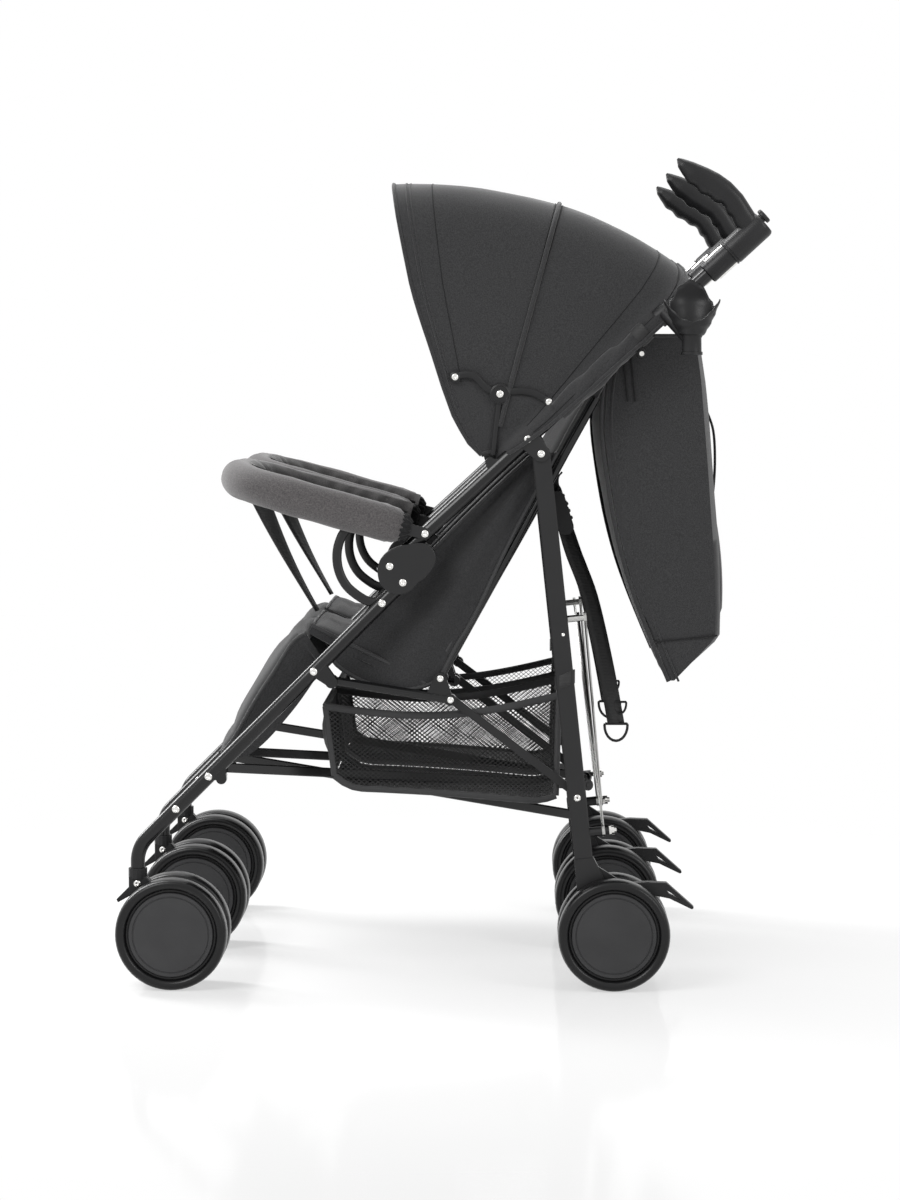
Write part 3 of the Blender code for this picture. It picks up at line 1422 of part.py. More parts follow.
def make_recline_strap(bay):
    """A flat strap that hangs behind a backrest, with a wire ring at its end."""
    y_low, y_high = bay_range(bay, SOFT_SIDE_GAP, SOFT_SIDE_GAP)
    middle = (y_low + y_high) / 2
    behind = 0.006 - BACK_THICKNESS / 2 - FIT_GAP - STRAP_THICKNESS / 2
    top = along(BACK_PIVOT, BACK_ANGLE, 0.270, behind)
    leave = along(BACK_PIVOT, BACK_ANGLE, 0.225, behind)
    low = Vector((0.2330, 0.3350))
    bend = Vector((0.1960, 0.5200))
    path = [top, leave, bend, low]
    half = STRAP_THICKNESS / 2
    outline = [p + Vector((-half, 0)) for p in path] + [p + Vector((half, 0)) for p in reversed(path)]
    strap = plate(outline, middle - STRAP_WIDTH / 2, middle + STRAP_WIDTH / 2)
    centre = low + Vector((0.002, -RING_RADIUS * 0.8))
    steps = 14
    ring_points = []
    for i in range(steps):
        turn = 2 * math.pi * i / steps
        ring_points.append(
            Vector((centre[0], middle + RING_RADIUS * math.sin(turn), centre[1] + RING_RADIUS * math.cos(turn)))
        )
    rings = []
    for point in ring_points:
        out = (point - Vector((centre[0], middle, centre[1]))).normalized()
        side = Vector((1, 0, 0))
        rings.append(
            [
                point + out * RING_WIRE,
                point + side * RING_WIRE,
                point - out * RING_WIRE,
                point - side * RING_WIRE,
            ]
        )
    shape = bmesh.new()
    verts = [[shape.verts.new(p) for p in ring] for ring in rings]
    for first, second in zip(verts, verts[1:] + verts[:1]):
        for j in range(4):
            k = (j + 1) % 4
            shape.faces.new((first[j], first[k], second[k], second[j]))
    whole = join(strap, from_bmesh(shape))
    return finish_node(whole, "recline_strap_" + bay, "webbing")


def build():
    for side in SIDES:
        make_front_leg(side)
        make_handle_tube(side)
        make_rear_leg(side)
        make_seat_bar(side)
        make_seat_link(side)
        make_caster(side)
        make_wheel_pair("front_wheels_" + side, FRONT_AXLE, FRAME_Y[side])
        make_wheel_pair("rear_wheels_" + side, REAR_AXLE, FRAME_Y[side])
        make_brake_pedal(side)
        make_handle_grip(side)
    for bay, outer, inner in BAYS:
        make_floor_cross(bay, outer)
        make_floor_cross(bay, inner)
        make_recline_hub(bay)
        planes = (0, 1) if bay == "left" else (1, 0)
        make_rear_cross(bay, outer, planes[0])
        make_rear_cross(bay, inner, planes[1])
        make_seat(bay)
        make_calf_rest(bay)
        make_backrest(bay)
        make_bumper(bay)
        make_canopy(bay)
        make_canopy_bow(bay, "front")
        make_canopy_bow(bay, "mid")
        make_basket(bay)
        make_recline_strap(bay)
    make_storage_bag()
    make_cup_holder()


build()
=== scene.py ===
import math

import bmesh
import bpy
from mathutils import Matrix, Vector, noise


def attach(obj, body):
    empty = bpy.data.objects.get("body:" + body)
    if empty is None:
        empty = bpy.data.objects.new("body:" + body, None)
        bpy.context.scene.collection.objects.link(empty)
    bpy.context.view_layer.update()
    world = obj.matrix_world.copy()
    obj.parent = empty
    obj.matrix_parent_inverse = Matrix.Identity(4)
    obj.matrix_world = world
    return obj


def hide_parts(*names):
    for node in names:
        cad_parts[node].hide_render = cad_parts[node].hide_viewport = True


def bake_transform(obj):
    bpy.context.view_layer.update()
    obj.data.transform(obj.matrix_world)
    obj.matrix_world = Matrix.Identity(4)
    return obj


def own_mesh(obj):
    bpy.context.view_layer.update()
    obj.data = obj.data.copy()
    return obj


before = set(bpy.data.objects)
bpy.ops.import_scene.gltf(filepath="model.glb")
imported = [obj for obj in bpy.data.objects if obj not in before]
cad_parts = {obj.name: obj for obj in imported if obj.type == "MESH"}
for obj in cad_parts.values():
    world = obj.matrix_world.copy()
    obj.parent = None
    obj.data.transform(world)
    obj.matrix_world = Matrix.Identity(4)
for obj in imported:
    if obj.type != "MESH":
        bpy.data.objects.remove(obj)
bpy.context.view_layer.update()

print("frame loaded")

# side plane of the stroller: +X is the rear, +Z is up, and y runs across it
layout = {
    "frameY": {"left": -0.31825, "mid": 0.01675, "right": 0.35175},
    "outward": {"left": -1.0, "mid": -1.0, "right": 1.0},
    # where each long part starts, and its angle
    "frontLeg": ((-0.405, 0.185), 45.0),
    "handle": ((-0.06983, 0.55906), 42.6),
    "rearLeg": ((0.12908, 0.70692), -83.9),
    "backrest": ((-0.00392, 0.40864), 61.0),
    "bumper": ((-0.02338, 0.60177), 164.6),
    "legLength": 0.522,
    "barPivot": (-0.14726, 0.40526),
    "barEnd": (0.00974, 0.38012),
    "canopyPivot": (0.062, 0.696),
    "tubeRadius": 0.0095,
    "foldShare": 0.313,  # how wide a seat is when the frames are closed, next to open
}
frameY = layout["frameY"]
outward = layout["outward"]
bays = {"left": ("left", "mid"), "right": ("mid", "right")}
heel = layout["frontLeg"][0]


def direction(angle):
    return Vector((math.cos(math.radians(angle)), math.sin(math.radians(angle))))


def on(part, run, rise=0.0):
    # a point so far along a part, and so far off its line
    start, angle = layout[part]
    return Vector(start) + direction(angle) * run + direction(angle + 90) * rise


def spot(point, y):
    return Vector((point[0], y, point[1]))


def mix(a, b, share):
    return a + (b - a) * share


def clamp(x):
    return min(1.0, max(0.0, x))


def hump(share):
    # 0 at both ends of a stretch and 1 in its middle
    return math.sin(math.pi * share)


def arc(centre, radius, start, step=18, count=11):
    return [Vector(centre) + direction(start + step * i) * radius for i in range(count)]


def between(a, b, steps):
    return [Vector(a).lerp(Vector(b), i / steps) for i in range(steps + 1)]


def smoothLine(points, steps):
    # a curve through the points, with steps stretches between each two
    line = []
    count = len(points)
    for i in range(count - 1):
        a, b, c, d = (Vector(points[min(max(k, 0), count - 1)]) for k in (i - 1, i, i + 1, i + 2))
        for s in range(steps):
            t = s / steps
            bend = (2 * a - 5 * b + 4 * c - d) * t**2 + (3 * b - a - 3 * c + d) * t**3
            line.append(0.5 * (2 * b + (c - a) * t + bend))
    return line + [Vector(points[-1])]


def keyed(keys, x, smooth=False):
    # reads a curve given as (place, value) pairs, in straight or in smooth stretches
    for (a, low), (b, high) in zip(keys, keys[1:]):
        if x <= b:
            t = max(0.0, (x - a) / (b - a))
            return mix(low, high, t * t * (3 - 2 * t) if smooth else t)
    return keys[-1][1]


def bayEdges(bay, gap):
    low, high = bays[bay]
    return frameY[low] + gap, frameY[high] - gap


# mesh building: a shape is a list of points and faces, and each face has a material slot
def newShape():
    return {"points": [], "faces": [], "slots": []}


def addFace(shape, indices, slot):
    shape["faces"].append(tuple(indices))
    shape["slots"].append(slot)


def addGrid(shape, rows, slot=0, loopColumns=False):
    # a slot of None leaves a hole
    base = len(shape["points"])
    wide = len(rows[0])
    for row in rows:
        shape["points"].extend(row)
    for i in range(len(rows) - 1):
        for j in range(wide if loopColumns else wide - 1):
            here = base + i * wide + j
            beside = base + i * wide + (j + 1) % wide
            which = slot(i, j) if callable(slot) else slot
            if which is not None:
                addFace(shape, (here, beside, beside + wide, here + wide), which)
    return base


def addRings(shape, rows, slot=0, ends=True):
    # closed rings one after another, with a face over each end
    base = addGrid(shape, rows, slot, loopColumns=True)
    wide = len(rows[0])
    last = base + (len(rows) - 1) * wide
    if ends:
        addFace(shape, range(base + wide - 1, base - 1, -1), slot(0, 0) if callable(slot) else slot)
        addFace(shape, range(last, last + wide), slot(len(rows) - 1, 0) if callable(slot) else slot)


def addTube(shape, path, radius, sides=24, slot=0, ends=True, flat=1.0, up=(0, 1, 0), ripple=None):
    # a bar along a path; flat makes it thinner along up, and ripple changes its radius
    path = [Vector(p) for p in path]
    up = Vector(up)
    rows = []
    for i, point in enumerate(path):
        run = (path[min(i + 1, len(path) - 1)] - path[max(i - 1, 0)]).normalized()
        side = up - run * run.dot(up)
        side = side.normalized() if side.length > 1e-4 else run.orthogonal().normalized()
        other = run.cross(side)
        size = radius[i] if isinstance(radius, list) else radius
        ring = []
        for j in range(sides):
            turn = 2 * math.pi * j / sides
            reach = size + (ripple(i, turn) if ripple else 0.0)
            ring.append(point + side * math.cos(turn) * reach * flat + other * math.sin(turn) * reach)
        rows.append(ring)
    addRings(shape, rows, slot, ends)


def addPin(shape, point, yStart, yEnd, radius, slot=0, sides=16):
    addTube(shape, [spot(point, yStart), spot(point, yEnd)], radius, sides, slot, up=(1, 0, 0))


def addTurned(shape, centre, axis, profile, steps=48, slot=0):
    # turns (radius, height) pairs about an axis; slot may be a list with one for each pair
    axis = Vector(axis).normalized()
    side = axis.orthogonal().normalized()
    other = axis.cross(side)
    rows = []
    for radius, height in profile:
        middle = Vector(centre) + axis * height
        turns = [2 * math.pi * j / steps for j in range(steps)]
        reach = max(radius, 1e-5)
        rows.append([middle + (side * math.cos(t) + other * math.sin(t)) * reach for t in turns])
    addRings(shape, rows, (lambda i, j: slot[i]) if isinstance(slot, list) else slot)


def addSlab(shape, outline, yLow, yHigh, slot=0):
    addRings(shape, [[spot(p, y) for p in outline] for y in (yLow, yHigh)], slot)


def roundedEnds(start, end, radius, steps=8):
    run = Vector(end) - Vector(start)
    angle = math.degrees(math.atan2(run[1], run[0]))
    ends = ((end, angle - 90), (start, angle + 90))
    return [p for tip, turn in ends for p in arc(tip, radius, turn, 180 / steps, steps + 1)]


def makePiece(name, shape, looks, sharp=40.0, bevel=0.0, wall=0.0, offset=-1.0):
    mesh = bpy.data.meshes.new(name)
    mesh.from_pydata([tuple(p) for p in shape["points"]], [], shape["faces"])
    mesh.polygons.foreach_set("material_index", shape["slots"])
    for look in looks:
        mesh.materials.append(finishes[look])
    work = bmesh.new()
    work.from_mesh(mesh)
    bmesh.ops.remove_doubles(work, verts=work.verts, dist=1e-5)
    bmesh.ops.recalc_face_normals(work, faces=work.faces)
    work.to_mesh(mesh)
    work.free()
    mesh.shade_smooth()
    mesh.set_sharp_from_angle(angle=math.radians(sharp))
    obj = bpy.data.objects.new(name, mesh)
    bpy.context.scene.collection.objects.link(obj)
    if bevel:
        edge = obj.modifiers.new("softEdge", "BEVEL")
        edge.width = bevel
        edge.segments = 2
        edge.limit_method = "ANGLE"
        edge.angle_limit = math.radians(50)
        edge.harden_normals = False
    if wall:
        thickness = obj.modifiers.new("thickness", "SOLIDIFY")
        thickness.thickness = wall
        thickness.offset = offset
    return obj


def settle(obj, body, node=None, folds=False):
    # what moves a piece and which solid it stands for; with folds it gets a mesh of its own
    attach(obj, body)
    if node:
        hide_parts(node)
    if folds:
        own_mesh(obj)
    return obj


# materials
def linear(hexColour):
    parts = [int(hexColour[i : i + 2], 16) / 255 for i in (1, 3, 5)]
    return (*[c / 12.92 if c <= 0.04045 else ((c + 0.055) / 1.055) ** 2.4 for c in parts], 1.0)


def addNode(tree, kind, settings):
    # a setting is a value or another node's output, which is then linked
    node = tree.nodes.new("ShaderNode" + kind)
    for key, value in settings.items():
        if isinstance(value, bpy.types.NodeSocket):
            tree.links.new(value, node.inputs[key])
        elif isinstance(key, int) or key in node.inputs:
            node.inputs[key].default_value = value
        else:
            setattr(node, key, value)
    return node


def maths(tree, operation, *values):
    return addNode(tree, "Math", {"operation": operation, **dict(enumerate(values))}).outputs[0]


def spread(tree, value, settings):
    return addNode(tree, "MapRange", {"Value": value, **settings}).outputs[0]


def speckle(tree, place, scale, detail, **more):
    settings = {"Scale": scale, "Detail": detail, "Vector": place, **more}
    return addNode(tree, "TexNoise", settings).outputs["Fac"]


def newMaterial(name, settings):
    material = bpy.data.materials.new(name)
    material.use_nodes = True
    tree = material.node_tree
    shader = tree.nodes["Principled BSDF"]
    for key, value in settings.items():
        shader.inputs[key].default_value = value
    place = addNode(tree, "TexCoord", {}).outputs["Object"]
    return material, tree, shader, place


def twoTone(tree, shader, source, dark, light):
    blend = addNode(tree, "Mix", {"data_type": "RGBA", "Factor": source, 6: linear(dark), 7: linear(light)})
    tree.links.new(blend.outputs[2], shader.inputs["Base Color"])


def bump(tree, shader, source, strength, distance):
    node = addNode(tree, "Bump", {"Strength": strength, "Distance": distance, "Height": source})
    tree.links.new(node.outputs["Normal"], shader.inputs["Normal"])


def band(tree, place, pitchMm, axis):
    # one set of threads: a wave texture's bands lie 0.314 / scale metres apart
    settings = {"Scale": 314.0 / pitchMm, "Distortion": 0.6, "Detail": 1.0}
    return addNode(tree, "TexWave", {**settings, "bands_direction": axis, "Vector": place}).outputs["Fac"]


def wovenCloth(name, dark, light, pitchMm, sheen=0.25, fleckMm=1.6):
    # threads near 0.5 mm would not show, so they are drawn about three times as coarse
    settings = {"Roughness": 0.88, "IOR": 1.5, "Specular IOR Level": 0.3}
    settings.update({"Sheen Weight": sheen, "Sheen Roughness": 0.5})
    material, tree, shader, place = newMaterial(name, settings)
    fleck = speckle(tree, place, 1000.0 / fleckMm, 2.0, Roughness=0.6)
    twoTone(tree, shader, spread(tree, fleck, {"From Min": 0.33, "From Max": 0.67}), dark, light)
    threads = [band(tree, place, pitchMm, axis) for axis in ("DIAGONAL", "Z")]
    bump(tree, shader, maths(tree, "ADD", maths(tree, "MULTIPLY", *threads), fleck), 0.35, 0.0004)
    return material


def mouldedPlastic(name, dark, light, roughness, grainMm=0.8):
    # injection moulded, with a fine spark-eroded grain that breaks up its highlights
    settings = {"Roughness": roughness, "IOR": 1.49, "Specular IOR Level": 0.3}
    material, tree, shader, place = newMaterial(name, settings)
    wear = spread(tree, speckle(tree, place, 14.0, 4.0), {"From Min": 0.3, "From Max": 0.7})
    twoTone(tree, shader, wear, dark, light)
    bump(tree, shader, speckle(tree, place, 1000.0 / grainMm, 3.0), 0.12, 0.0002)
    return material


def glossPaint(name, dark, light, roughness):
    # powder-coated drawn tube: an even skin whose gloss varies a little where hands and dust dull it
    settings = {"Roughness": roughness, "IOR": 1.5, "Specular IOR Level": 0.4}
    material, tree, shader, place = newMaterial(name, settings)
    dust = speckle(tree, place, 22.0, 5.0)
    twoTone(tree, shader, dust, dark, light)
    dulled = spread(tree, dust, {"To Min": roughness - 0.03, "To Max": roughness + 0.05})
    tree.links.new(dulled, shader.inputs["Roughness"])
    return material


def platedMetal(name, dark, light, roughness, grainMm):
    # zinc or nickel plate: bright, with the fine streaks of the strip under it
    material, tree, shader, place = newMaterial(name, {"Metallic": 1.0, "Roughness": roughness})
    streak = speckle(tree, place, 1000.0 / grainMm, 3.0, Distortion=0.4)
    twoTone(tree, shader, streak, dark, light)
    bump(tree, shader, streak, 0.08, 0.0002)
    return material


def ribbedWebbing(name, dark, light, pitchMm):
    # polypropylene webbing: coarse ribs across the strap
    settings = {"Roughness": 0.6, "IOR": 1.49, "Sheen Weight": 0.15}
    material, tree, shader, place = newMaterial(name, settings)
    rib = band(tree, place, pitchMm, "Z")
    twoTone(tree, shader, rib, dark, light)
    bump(tree, shader, rib, 0.5, 0.0005)
    return material


def knittedNet(name, colour, pitchMm, thread):
    # warp-knitted polyester net: open diamonds cut out of the alpha. The real ones are 5.6 mm
    # apart, and they are drawn a little coarser so that they still show
    settings = {"Base Color": linear(colour), "Roughness": 0.7, "IOR": 1.5, "Sheen Weight": 0.2}
    material, tree, shader, place = newMaterial(name, settings)
    split = addNode(tree, "SeparateXYZ", {"Vector": place}).outputs
    level = maths(tree, "ADD", split["X"], split["Y"])
    lean = maths(tree, "MULTIPLY", split["Z"], 1.25)
    lines = []
    for operation in ("ADD", "SUBTRACT"):
        turn = maths(tree, "MULTIPLY", maths(tree, operation, level, lean), math.pi * 1000 / pitchMm)
        lines.append(maths(tree, "ABSOLUTE", maths(tree, "SINE", turn)))
    near = maths(tree, "MINIMUM", *lines)
    tree.links.new(maths(tree, "LESS_THAN", near, thread), shader.inputs["Alpha"])
    bump(tree, shader, near, 0.4, 0.0006)
    return material


finishes = {
    "canopyCloth": wovenCloth("charcoal_polyester_woven", "#252526", "#353536", 1.5),
    "seatCloth": wovenCloth("charcoal_polyester_seat", "#212122", "#313132", 1.5, 0.2),
    "sleeveCloth": wovenCloth("melange_grey_sleeve_woven", "#3f3d3e", "#5c5959", 1.7, 0.35, 1.9),
    "lining": wovenCloth("black_lining_plain_weave", "#131314", "#1d1d1e", 1.3, 0.1),
    # the gathered cuff is the sleeve's own grey cloth drawn darker: painted shade in its folds
    "gatherPaintedShade": wovenCloth("melange_grey_cuff_painted_shade", "#2a2929", "#403e3e", 1.5, 0.3),
    "binding": ribbedWebbing("grosgrain_binding_black", "#1b1b1c", "#2b2b2c", 1.6),
    "webbing": ribbedWebbing("polypropylene_webbing_black", "#0d0d0d", "#1c1c1d", 2.0),
    "net": knittedNet("warp_knitted_net_black", "#0b0b0b", 7.2, 0.27),
    "paint": glossPaint("powder_coated_tube_black_gloss", "#0a0a0b", "#111112", 0.2),
    "barPaint": glossPaint("powder_coated_strip_black_satin", "#101011", "#19191a", 0.36),
    "plastic": mouldedPlastic("nylon_moulded_black_satin", "#151516", "#202021", 0.42),
    "gripPlastic": mouldedPlastic("soft_moulded_grip_black", "#161617", "#222223", 0.38, 1.1),
    "cap": mouldedPlastic("wheel_cap_polypropylene_grey", "#2f2f30", "#383839", 0.5),
    "tyre": mouldedPlastic("eva_foam_tyre_black", "#0b0b0c", "#141415", 0.3, 1.4),
    "zinc": platedMetal("zinc_plated_strip_steel", "#8f8f8d", "#d2d2d0", 0.28, 2.2),
    "nickel": platedMetal("nickel_plated_rivet", "#c9c8c5", "#f2f1ee", 0.16, 3.0),
}
# what each solid is made of, by the start of its name
nodeFinish = {
    "paint": ("handle_tube", "front_leg", "seat_bar"),
    "barPaint": ("rear_leg", "seat_link", "floor_cross"),
    "zinc": ("rear_cross",),
    "plastic": ("recline_hub", "caster", "brake_pedal", "canopy_front_bow", "canopy_mid_bow", "cup_holder"),
    "gripPlastic": ("handle_grip",),
}
for name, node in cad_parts.items():
    for finish, starts in nodeFinish.items():
        if name.startswith(starts):
            node.data.materials.clear()
            node.data.materials.append(finishes[finish])
    node.data.set_sharp_from_angle(angle=math.radians(38))
print("materials made")

rivet = {
    "radius": 0.0052,
    "height": 0.0022,
    "sunk": 0.0015,
    # shares of the radius and the height: a dome with a dimple in its middle
    "dome": [(1.0, 0.25), (0.92, 0.62), (0.7, 0.93), (0.42, 1.0), (0.26, 0.72), (0.0, 0.66)],
    # single rivets: below the leg's top, along the handle, and (height, distance out) on the caster
    "legTop": 0.0235,
    "handleRun": 0.2465,
    "caster": (0.1376, 0.0092),
    # how far out the faces of the seat bars' eyes lie
    "eyeMid": 0.0092,
    "eyeSide": -0.015,
}


def addRivet(shape, point, y, way, scale=1.0, slot=0):
    radius = rivet["radius"] * scale
    dome = [(radius * a, rivet["height"] * scale * b) for a, b in rivet["dome"]]
    addTurned(shape, spot(point, y), (0, way, 0), [(radius, -rivet["sunk"]), *dome], 24, slot)


legs = {
    "bendRadius": 0.045,
    "footZ": 0.158,
    "guard": [
        (-0.0804, 0.5105), (-0.093, 0.511), (-0.1068, 0.516), (-0.1266, 0.532),
        (-0.1375, 0.5534), (-0.1395, 0.5772), (-0.133, 0.599), (-0.12, 0.615),
    ],
    "guardRadius": 0.0062,
    "rivetRuns": (0.073, 0.1345, 0.3317, 0.4597),
    # plates that stand on the leg: two corners along it, how far they sink in, tip, radius and first
    # angle of its round, half width
    "lug": ((0.35, 0.326), 0.003, layout["barPivot"], (0.008, 205), 0.0076),
    "pegMid": ((0.142, 0.114), 0.004, (-0.307, 0.2628), (0.007, 195), 0.0066),
    "pegSide": ((0.1615, 0.1335), 0.004, (-0.2932, 0.2766), (0.007, 195), 0.0066),
    # radius and length of the pins on those plates
    "pegPin": (0.004, 0.043),
    "lugPin": (0.0035, 0.0275),
}
handle = {
    "runs": (-0.016, 0.2, 0.4, 0.566),
    "plate": [
        (-0.0858, 0.5532), (-0.0825, 0.5366), (-0.0722, 0.5261), (-0.0577, 0.5217), (-0.0432, 0.5261),
        (-0.0328, 0.5369), (-0.0223, 0.5449), (-0.0103, 0.5621), (-0.01, 0.5761), (-0.019, 0.5874),
        (-0.0327, 0.5897), (-0.052, 0.5865), (-0.0689, 0.5806), (-0.0815, 0.569),
    ],
    "plateHalf": 0.013,
    "cheek": (0.0073, 0.0103),
    "cheekCorners": ((0.2605, 0.004), (0.2325, 0.004), (0.2345, -0.02)),
    "cheekRound": (0.011, 215, 17),
    "cheekEnd": (0.2605, -0.014),
    "clip": (0.2036, 0.1796),
    "clipRound": 0.0065,
    "pinRadius": 0.003,
    "canopyPin": 0.0165,
    "bumperPin": 0.0142,
    "bevel": 0.0009,
}
rearLeg = {
    "face": 0.007,
    "rivets": ((0.457, 0.0, 0.95), (0.24, 0.004, 0.45)),
    "bolt": [(0.0062, 0.0), (0.0062, 0.0035), (0.0035, 0.0036), (0.0035, 0.0065), (0.0, 0.0068)],
    "boltRun": 0.505,
    "boltRises": ((0.0375, 6), (0.0405, 20)),
}
tie = {
    "run": 0.3,
    "reach": (0.0135, 0.0085),
    "lifts": (-0.009, -0.003, 0.003, 0.009),
    "lean": 0.25,
    "wall": 0.0015,
}


def bentLeg():
    # upright over the caster, then bent back to the leg's angle
    radius = legs["bendRadius"]
    centre = Vector(heel) + Vector((radius, -radius * math.tan(math.radians(22.5))))
    bend = arc(centre, radius, 180.0, -45.0 / 12, 13)
    top = on("frontLeg", layout["legLength"])
    return [Vector((heel[0], legs["footZ"])), *bend, mix(bend[-1], top, 0.5), top]


def addLegPlate(shape, y, corners, sunk, tip, rounded, half):
    outline = [on("frontLeg", run, -sunk) for run in corners] + arc(tip, *rounded)
    addSlab(shape, outline, y - half, y + half)


for side, y in frameY.items():
    way = outward[side]
    inwards = (-1.0, 1.0) if side == "mid" else (-way,)
    outwards = (-1.0, 1.0) if side == "mid" else (way,)
    peg = legs["pegMid" if side == "mid" else "pegSide"]
    shape = newShape()
    addTube(shape, [spot(p, y) for p in bentLeg()], layout["tubeRadius"], 32)
    addLegPlate(shape, y, *legs["lug"])
    addLegPlate(shape, y, *peg)
    for turn in inwards:
        radius, reach = legs["pegPin"]
        addPin(shape, peg[2], y, y + turn * reach, radius)  # at the plate's tip
        radius, reach = legs["lugPin"]
        if side != "mid":
            addPin(shape, layout["barPivot"], y, y + turn * reach, radius)
    guardLine = [spot(p, y) for p in smoothLine(legs["guard"], 6)]
    addTube(shape, guardLine, legs["guardRadius"], 16, 1, flat=0.5)
    for run in legs["rivetRuns"]:
        addRivet(shape, on("frontLeg", run), y + way * layout["tubeRadius"], way, 1.0, 2)
    made = makePiece("front_leg_tube_" + side, shape, ["paint", "barPaint", "nickel"])
    settle(made, side + "_frame", "front_leg_" + side)

    # handle tube with its joint plate, rear leg cheeks, canopy clip and pins
    shape = newShape()
    addTube(shape, [spot(on("handle", run), y) for run in handle["runs"]], layout["tubeRadius"], 32)
    corners = handle["plate"]
    plateLine = smoothLine([*corners[-2:], *corners, *corners[:2]], 5)[10 : (len(corners) + 2) * 5]
    addSlab(shape, plateLine, y - handle["plateHalf"], y + handle["plateHalf"], 1)
    radius, start, step = handle["cheekRound"]
    cheek = [on("handle", *corner) for corner in handle["cheekCorners"]]
    cheek += [*arc(layout["rearLeg"][0], radius, start, step), on("handle", *handle["cheekEnd"])]
    low, high = handle["cheek"]
    addSlab(shape, cheek, y + low, y + high, 1)
    addSlab(shape, cheek, y - high, y - low, 1)
    first, last = (on("handle", run, 0.004) for run in handle["clip"])
    clip = [first, *arc(layout["canopyPivot"], handle["clipRound"], layout["handle"][1]), last]
    addSlab(shape, clip, y - handle["clipRound"], y + handle["clipRound"], 1)
    for turn in inwards:
        addPin(shape, layout["canopyPivot"], y, y + turn * handle["canopyPin"], handle["pinRadius"], 1)
    for turn in outwards:
        addPin(shape, layout["bumper"][0], y, y + turn * handle["bumperPin"], handle["pinRadius"], 1)
    made = makePiece("handle_tube_skin_" + side, shape, ["paint", "barPaint"], 40, handle["bevel"])
    settle(made, side + "_frame", "handle_tube_" + side)

    shape = newShape()
    for point in (on("frontLeg", layout["legLength"] - rivet["legTop"]), layout["handle"][0]):
        addRivet(shape, point, y + way * handle["plateHalf"], way)
    for point in (on("handle", rivet["handleRun"]), layout["rearLeg"][0]):
        addRivet(shape, point, y + way * high, way)
    settle(makePiece("handle_rivets_" + side, shape, ["nickel"]), side + "_frame")

    shape = newShape()
    for run, rise, scale in rearLeg["rivets"]:
        addRivet(shape, on("rearLeg", run, rise), y + way * rearLeg["face"], way, scale)
    lean = direction(layout["rearLeg"][1] + 90)
    for rise, sides in rearLeg["boltRises"]:
        place = spot(on("rearLeg", rearLeg["boltRun"], rise), y)
        addTurned(shape, place, spot(lean, 0.0), rearLeg["bolt"], sides)
    settle(makePiece("rear_leg_rivets_" + side, shape, ["nickel"]), "rear_leg_" + side)

    shape = newShape()
    height, out = rivet["caster"]
    addRivet(shape, (heel[0], height), y - out, -1.0, 0.95)
    settle(makePiece("caster_rivet_" + side, shape, ["nickel"]), "caster_" + side)
    shape = newShape()
    eyeFace = y + way * rivet["eyeMid" if side == "mid" else "eyeSide"]
    for point in (layout["barEnd"], layout["backrest"][0]):
        addRivet(shape, point, eyeFace, way, 0.9)
    settle(makePiece("seat_bar_rivets_" + side, shape, ["nickel"]), "seat_bar_" + side)

    # the hook-and-loop band that ties the basket to the rear leg
    shape = newShape()
    centre = on("rearLeg", tie["run"])
    deep, wide = tie["reach"]
    turns = [2 * math.pi * i / 28 for i in range(28)]
    ring = [spot(centre + lean * math.cos(t) * deep, y + math.sin(t) * wide) for t in turns]
    slope = [p + Vector((0, 0, tie["lean"] * (p[0] - centre[0]))) for p in ring]
    addGrid(shape, [[p + Vector((0, 0, lift)) for p in slope] for lift in tie["lifts"]], loopColumns=True)
    made = makePiece("leg_tie_" + side, shape, ["webbing"], wall=tie["wall"])
    settle(made, "rear_leg_" + side)
print("frame dressed")

wheel = {
    "width": 0.036,
    "gap": 0.023,
    "front": (-0.358, 0.074),
    "rear": (0.226, 0.074),
    "axle": 0.004,
    "axleInset": 0.016,
    # radius, height out of the wheel's middle plane, and material of the stretch that follows
    "profile": [
        (0.0, 0.0128, 1), (0.0492, 0.0128, 1), (0.0498, 0.012, 1), (0.0506, 0.012, 1), (0.0512, 0.013, 1),
        (0.0552, 0.0132, 1), (0.0562, 0.0118, 2), (0.057, 0.0092, 2), (0.0592, 0.0092, 0),
        (0.0604, 0.0128, 0),
        (0.0616, 0.0158, 0), (0.064, 0.0174, 0), (0.0675, 0.018, 0), (0.0702, 0.0172, 0), (0.0722, 0.0148, 0),
        (0.0735, 0.0108, 0), (0.074, 0.0055, 0), (0.074, -0.0055, 0), (0.0735, -0.0108, 0),
        (0.0722, -0.0148, 0), (0.0702, -0.0172, 0), (0.0675, -0.018, 0), (0.0625, -0.0176, 0),
        (0.06, -0.015, 2), (0.059, -0.01, 2), (0.018, -0.0092, 2), (0.015, -0.0165, 2), (0.0, -0.0165, 2),
    ],
}
wheelSlots = [slot for _, _, slot in wheel["profile"]]
wheelRim = [(radius, height) for radius, height, _ in wheel["profile"]]
for side, y in frameY.items():
    for end in ("front", "rear"):
        shape = newShape()
        apart = (wheel["gap"] + wheel["width"]) / 2
        for way in (-1.0, 1.0):
            addTurned(shape, spot(wheel[end], y + way * apart), (0, way, 0), wheelRim, 64, wheelSlots)
        reach = apart - wheel["axleInset"]
        addPin(shape, wheel[end], y - reach, y + reach, wheel["axle"], 3)
        made = makePiece(f"{end}_wheel_pair_{side}", shape, ["tyre", "cap", "plastic", "nickel"], 50)
        settle(made, f"{end}_wheels_{side}", f"{end}_wheels_{side}")
print("wheels made")

